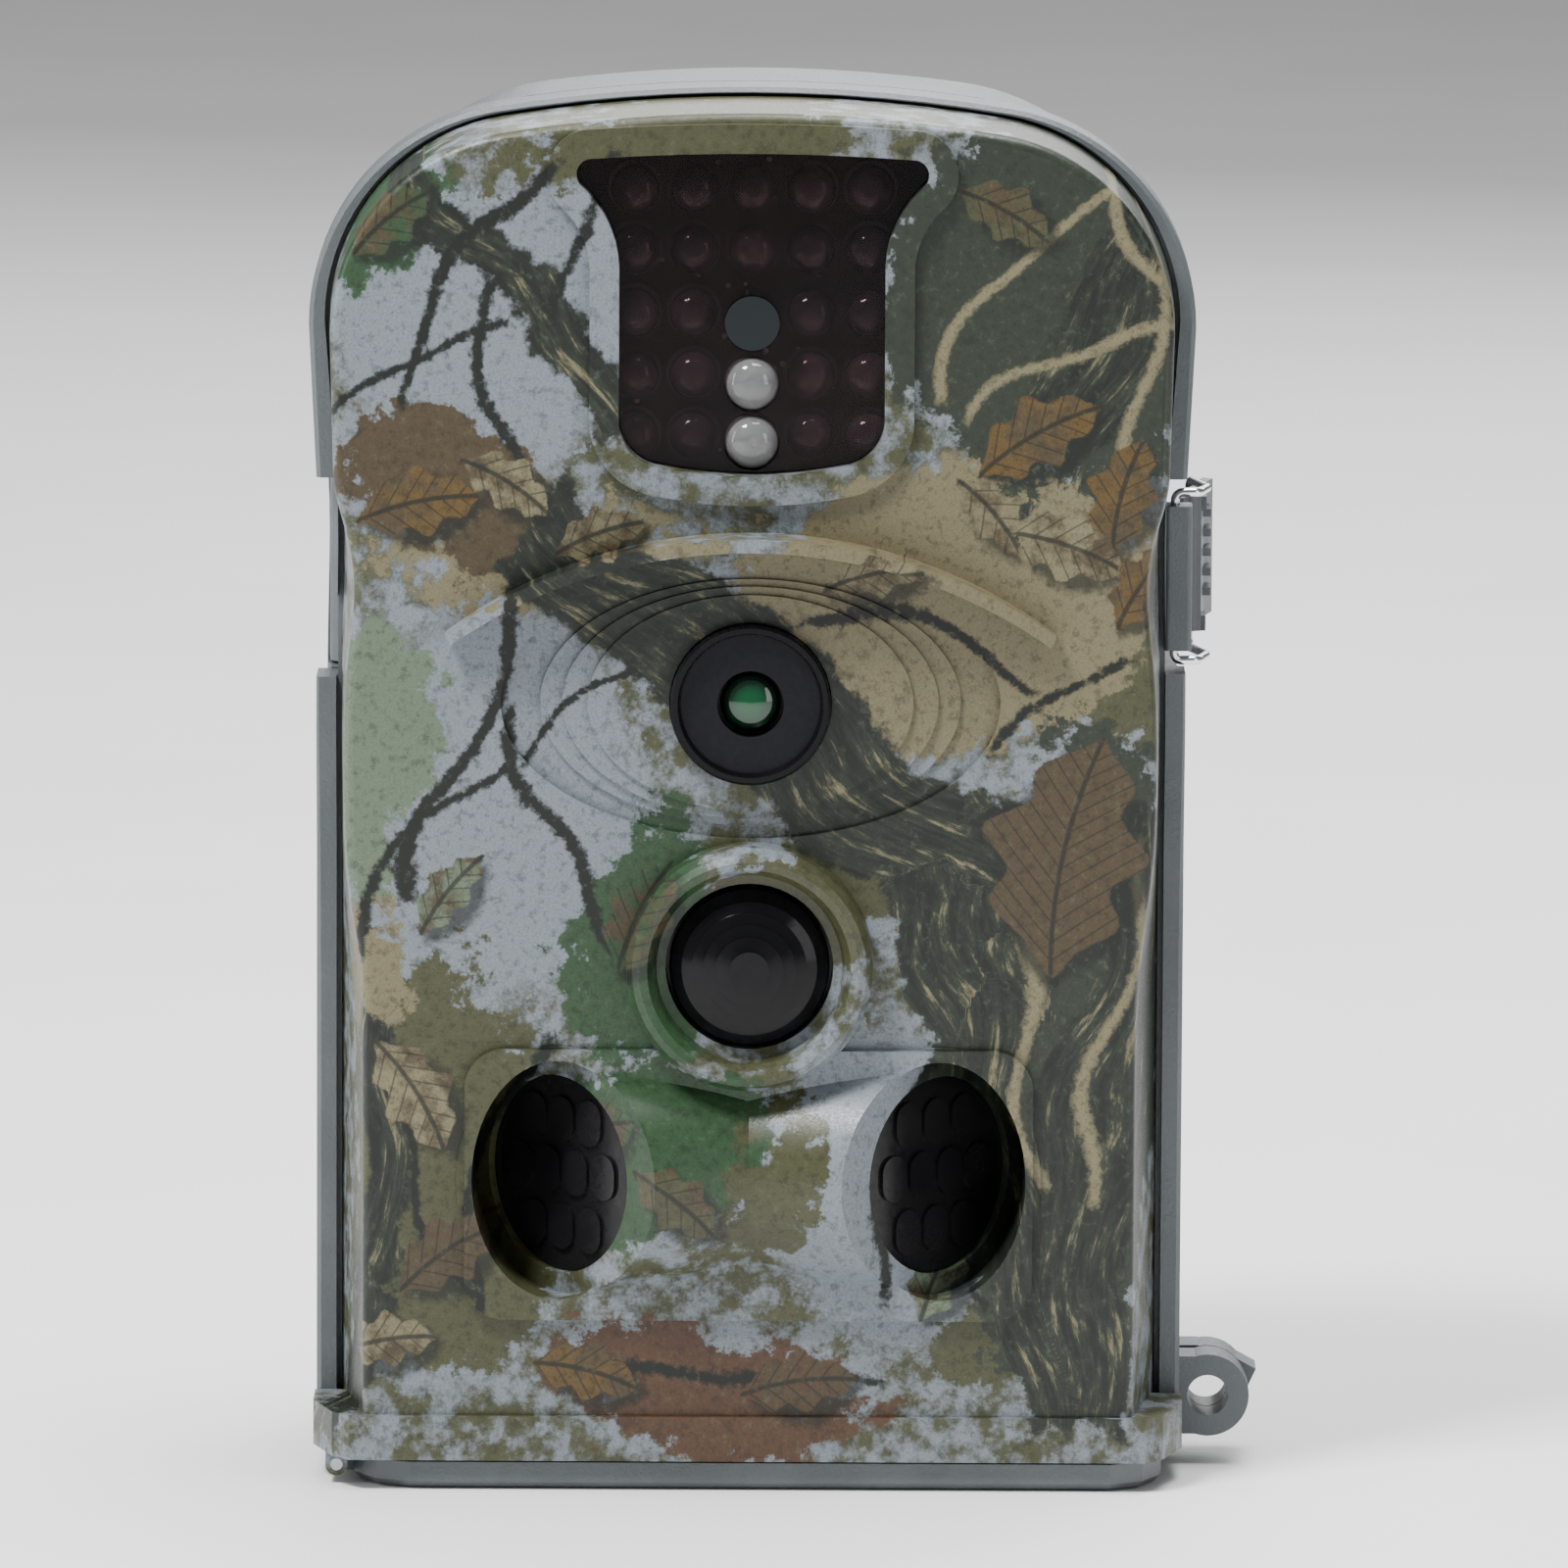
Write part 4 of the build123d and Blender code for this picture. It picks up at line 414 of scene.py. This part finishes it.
# ------------------------------------------------------------------ the other finishes
def night_window():
    """Infrared-pass pane: black gloss with a deep red depth that lets the lamps show faintly."""
    paint = Paint("infrared pane")
    cloud = paint.noise(paint.point, 0.05, 2.0)
    paint.colour(paint.mix(paint.step(cloud, 0.35, 0.65), (0.001, 0.001, 0.001), (0.005, 0.001, 0.001)))
    smear = paint.step(paint.noise(paint.point, 0.8, 3.0), 0.3, 0.7, 0.03, 0.09)
    paint.feed(paint.shader.inputs["Roughness"], smear)
    clear = paint.node("ShaderNodeBsdfTransparent")
    clear.inputs["Color"].default_value = (0.78, 0.68, 0.70, 1.0)
    blend = paint.node("ShaderNodeMixShader")
    blend.inputs[0].default_value = 0.30
    paint.tree.links.new(clear.outputs[0], blend.inputs[1])
    paint.tree.links.new(paint.shader.outputs[0], blend.inputs[2])
    paint.tree.links.new(blend.outputs[0], paint.output.inputs["Surface"])
    return paint.material


def clear_plastic(name, colour, dark, rough):
    paint = Paint(name)
    speck = paint.noise(paint.point, 1.2, 3.0)
    paint.colour(paint.mix(paint.step(speck, 0.35, 0.7), colour, dark))
    paint.feed(paint.shader.inputs["Roughness"], paint.step(speck, 0.3, 0.7, rough, rough + 0.05))
    paint.set(Transmission_Weight=0.85, IOR=1.5)
    return paint.material


def coated_lens():
    """Green coating in the middle that falls to black at the rim."""
    paint = Paint("coated lens")
    reach = paint.vector("LENGTH", paint.place(paint.point, (0, 0, 79.1), 0, (3.0, 1e6, 3.0)))
    tone = paint.mix(paint.step(reach, 0.25, 0.95), (0.004, 0.060, 0.022), (0.002, 0.004, 0.004))
    dust = paint.noise(paint.point, 3.0, 2.0)
    paint.colour(paint.mix(paint.step(dust, 0.55, 0.8, 0.0, 0.10), tone, (0.02, 0.05, 0.04)))
    paint.feed(paint.shader.inputs["Roughness"], paint.step(dust, 0.3, 0.8, 0.02, 0.08))
    paint.set(Specular_IOR_Level=0.6)
    return paint.material


def lens_ring():
    """Black outside, with a painted grey-purple sheen on the annulus round the glass: a painted
    reflection standing in for a cover glass over the black mask.
    """
    paint = Paint("lens ring")
    reach = paint.vector("LENGTH", paint.place(paint.point, (0, 0, 79.1), 0, (1.0, 1e6, 1.0)))
    speck = paint.noise(paint.point, 2.5, 3.0)
    # painted reflection: the grey-purple tone of the annulus imitates the sheen of a cover glass over the
    # black mask
    grey = paint.mix(paint.step(speck, 0.3, 0.7, 0.0, 0.5), (0.007, 0.007, 0.010), (0.004, 0.004, 0.006))
    tone = paint.mix(paint.step(reach, 6.65, 6.85), grey, (0.004, 0.004, 0.005))
    paint.colour(paint.mix(paint.step(reach, 3.3, 3.5, 1.0, 0.0), tone, (0.008, 0.008, 0.009)))
    paint.feed(paint.shader.inputs["Roughness"], paint.step(speck, 0.3, 0.7, 0.24, 0.36))
    paint.set(Specular_IOR_Level=0.15)
    return paint.material


def circuit(name, mask, dark):
    """Solder mask over copper tracks, with tinned pads."""
    paint = Paint(name)
    grid = paint.node("ShaderNodeTexBrick", offset=0.5)
    paint.feed(grid.inputs["Vector"], paint.point)
    grid.inputs["Scale"].default_value = 0.35
    grid.inputs["Mortar Size"].default_value = 0.05
    tone = paint.mix(grid.outputs["Fac"], mask, dark)
    cell = paint.node("ShaderNodeTexVoronoi")
    paint.feed(cell.inputs["Vector"], paint.point)
    cell.inputs["Scale"].default_value = 0.42
    pad = paint.step(cell.outputs["Distance"], 0.10, 0.14, 1.0, 0.0)
    paint.colour(paint.mix(pad, tone, (0.55, 0.52, 0.44)))
    speck = paint.noise(paint.point, 2.0, 2.0)
    paint.feed(paint.shader.inputs["Roughness"], paint.step(speck, 0.3, 0.7, 0.28, 0.38))
    return paint.material


def cell_wrap():
    """Dark sleeve with a copper end on each of the two rows of cells, and a steel cap."""
    paint = Paint("cell sleeve")
    _, _, height = paint.split(paint.point)
    along = paint.math("MODULO", paint.math("SUBTRACT", height, 14.6), 57.0)
    tone = paint.mix(paint.step(along, 36.0, 36.4), (0.018, 0.018, 0.020), (0.46, 0.19, 0.07))
    tone = paint.mix(paint.step(along, 49.0, 49.2), tone, (0.62, 0.62, 0.63))
    speck = paint.noise(paint.point, 1.5, 3.0)
    paint.colour(paint.mix(paint.step(speck, 0.5, 0.8, 0.0, 0.3), tone, (0.03, 0.03, 0.03)))
    paint.feed(paint.shader.inputs["Roughness"], paint.step(speck, 0.3, 0.7, 0.22, 0.34))
    paint.set(Metallic=0.35)
    return paint.material


FINISHES = {
    "grey_shell": plain(
        "grey shell", (0.088, 0.100, 0.106), (0.072, 0.083, 0.089), 0.44, 3.0, 0.30, bump=0.30,
    ),
    "grey_lever": plain(
        "grey lever", (0.080, 0.088, 0.098), (0.058, 0.065, 0.073), 0.42, 3.0, 0.30, bump=0.25,
    ),
    "black_plastic": plain(
        "black plastic", (0.022, 0.022, 0.024), (0.012, 0.012, 0.013), 0.50, 2.5, 0.4, bump=0.2,
    ),
    "battery_wrap": cell_wrap(),
    "spring_steel": plain(
        "spring steel", (0.66, 0.66, 0.67), (0.45, 0.45, 0.46), 0.28, 2.0, 0.3, 1.0,
    ),
    "screw_steel": plain(
        "screw steel", (0.50, 0.50, 0.52), (0.32, 0.32, 0.34), 0.32, 3.0, 0.3, 1.0, 0.1,
    ),
    "bright_wire": plain(
        "bright wire", (0.82, 0.82, 0.84), (0.60, 0.60, 0.62), 0.14, 1.5, 0.2, 1.0, streak=(1, 1, 4),
    ),
    "gold_contact": plain(
        "gold contact", (0.86, 0.64, 0.27), (0.62, 0.42, 0.15), 0.24, 2.0, 0.2, 1.0,
    ),
    "brass": plain(
        "brass", (0.70, 0.52, 0.23), (0.48, 0.33, 0.13), 0.30, 2.0, 0.3, 1.0, streak=(1, 1, 5),
    ),
    "seal_rubber": plain(
        "seal rubber", (0.030, 0.030, 0.031), (0.016, 0.016, 0.017), 0.62, 2.0, 0.4, bump=0.2,
    ),
    "ir_black": night_window(),
    "ir_led": plain(
        "smoked lamp", (0.13, 0.12, 0.14), (0.05, 0.045, 0.055), 0.07, 1.2, 0.3, coat=1.0,
    ),
    "clear_led": clear_plastic("clear lamp", (0.92, 0.92, 0.93), (0.72, 0.73, 0.75), 0.05),
    "sensor_blue": plain(
        "light sensor", (0.002, 0.009, 0.013), (0.001, 0.004, 0.006), 0.12, 2.0, 0.3,
    ),
    "circuit_board": circuit("green board", (0.012, 0.110, 0.040), (0.020, 0.165, 0.060)),
    "black_board": circuit("black board", (0.008, 0.008, 0.009), (0.014, 0.014, 0.015)),
    "lens_black": lens_ring(),
    "coated_glass": coated_lens(),
    "filter_glass": clear_plastic("filter pane", (0.35, 0.62, 0.72), (0.20, 0.42, 0.52), 0.04),
    "pir_black": plain(
        "motion dome", (0.007, 0.007, 0.008), (0.004, 0.004, 0.005), 0.14, 1.2, 0.3, shine=0.16,
    ),
    "pir_array": plain(
        "side motion lens", (0.009, 0.009, 0.010), (0.005, 0.005, 0.006), 0.18, 1.2, 0.3, shine=0.22,
    ),
    "sensor_can": plain("sensor can", (0.64, 0.62, 0.55), (0.42, 0.40, 0.35), 0.30, 2.5, 0.3, 1.0),
    "chip_black": plain(
        "moulded chip", (0.030, 0.030, 0.032), (0.018, 0.018, 0.019), 0.50, 4.0, 0.4, bump=0.1,
    ),
    "lcd_glass": plain(
        "display", (0.26, 0.30, 0.25), (0.20, 0.235, 0.20), 0.14, 0.8, 0.2, coat=0.7,
    ),
    "socket_steel": plain(
        "tin plate", (0.62, 0.63, 0.64), (0.44, 0.45, 0.46), 0.30, 2.0, 0.3, 1.0, streak=(1, 4, 1),
    ),
    "key_grey": plain(
        "key plastic", (0.120, 0.125, 0.132), (0.080, 0.084, 0.090), 0.45, 3.0, 0.3, bump=0.2,
    ),
    "card_blue": plain(
        "card", (0.032, 0.060, 0.150), (0.018, 0.036, 0.095), 0.40, 3.0, 0.3, bump=0.1,
    ),
}

for row in frame["record"]["subparts"]:
    if row["node"] == "front_cover":
        continue
    piece = frame["nodes"][row["node"]]
    for place in piece.material_slots:
        place.material = FINISHES[row["material_slot"]]
    if not piece.material_slots:
        piece.data.materials.append(FINISHES[row["material_slot"]])
printed_cover()


# ------------------------------------------------------------------ floor and light
def floor_paint():
    paint = Paint("pale floor")
    cloud = paint.noise(paint.point, 0.01, 3.0)
    paint.colour(paint.mix(paint.step(cloud, 0.3, 0.7), (0.80, 0.80, 0.80), (0.84, 0.84, 0.84)))
    paint.set(Roughness=0.6)
    return paint.material


bpy.ops.mesh.primitive_plane_add(size=8.0, location=(0, 0, -0.0002))
floor = bpy.context.object
floor.name = "floor"
floor.data.materials.append(floor_paint())


def softbox(name, place, aim, power, wide, high):
    light = bpy.data.lights.new(name, "AREA")
    light.shape = "RECTANGLE"
    light.size = wide
    light.size_y = high
    light.energy = power
    lamp = bpy.data.objects.new(name, light)
    bpy.context.scene.collection.objects.link(lamp)
    lamp.location = place
    lamp.rotation_euler = (Vector(aim) - Vector(place)).to_track_quat("-Z", "Y").to_euler()


MIDDLE = (0, 0, 0.07)
softbox("key", (-0.42, -0.42, 1.00), MIDDLE, 21.0, 0.26, 0.26)
softbox("fill", (0.85, -0.75, 0.30), MIDDLE, 3.0, 0.40, 0.70)
softbox("top", (0.12, 0.05, 0.90), MIDDLE, 11.0, 0.60, 0.40)
softbox("left", (-0.95, -0.15, 0.25), MIDDLE, 4.0, 0.25, 0.70)
softbox("back", (0.25, 0.85, 0.55), MIDDLE, 6.0, 0.80, 0.50)

world = bpy.data.worlds.new("studio")
bpy.context.scene.world = world
world.use_nodes = True
world.node_tree.nodes["Background"].inputs["Color"].default_value = (1.0, 1.0, 1.0, 1.0)
world.node_tree.nodes["Background"].inputs["Strength"].default_value = 0.24

# ------------------------------------------------------------------ camera
FAR = 1.5                     # metres from the aim
RISE = radians(8.5)           # the view looks down by this much
ROLL = radians(0.27)
SHOWN = 1.600 / 10.17         # metres across the picture at the aim
AIM = Vector((0, 0, 0.071))
SIDEWAYS, DOWN = 34 / 1600 * SHOWN, 32.9 / 1600 * SHOWN   # the aim sits off the middle
SENSOR = 36.0
sight = Vector((0, cos(RISE), -sin(RISE)))
up = Vector((0, sin(RISE), cos(RISE)))
right = Vector((1, 0, 0))
lens = bpy.data.cameras.new("camera")
lens.sensor_width = SENSOR
lens.lens = SENSOR * FAR / SHOWN
lens.clip_end = 50.0
camera = bpy.data.objects.new("camera", lens)
bpy.context.scene.collection.objects.link(camera)
turned_right = right * cos(ROLL) + up * sin(ROLL)
turned_up = up * cos(ROLL) - right * sin(ROLL)
spot = AIM - sight * FAR + right * SIDEWAYS - up * DOWN
camera.matrix_world = Matrix((
    (turned_right.x, turned_up.x, -sight.x, spot.x),
    (turned_right.y, turned_up.y, -sight.y, spot.y),
    (turned_right.z, turned_up.z, -sight.z, spot.z),
    (0, 0, 0, 1),
))
bpy.context.scene.camera = camera
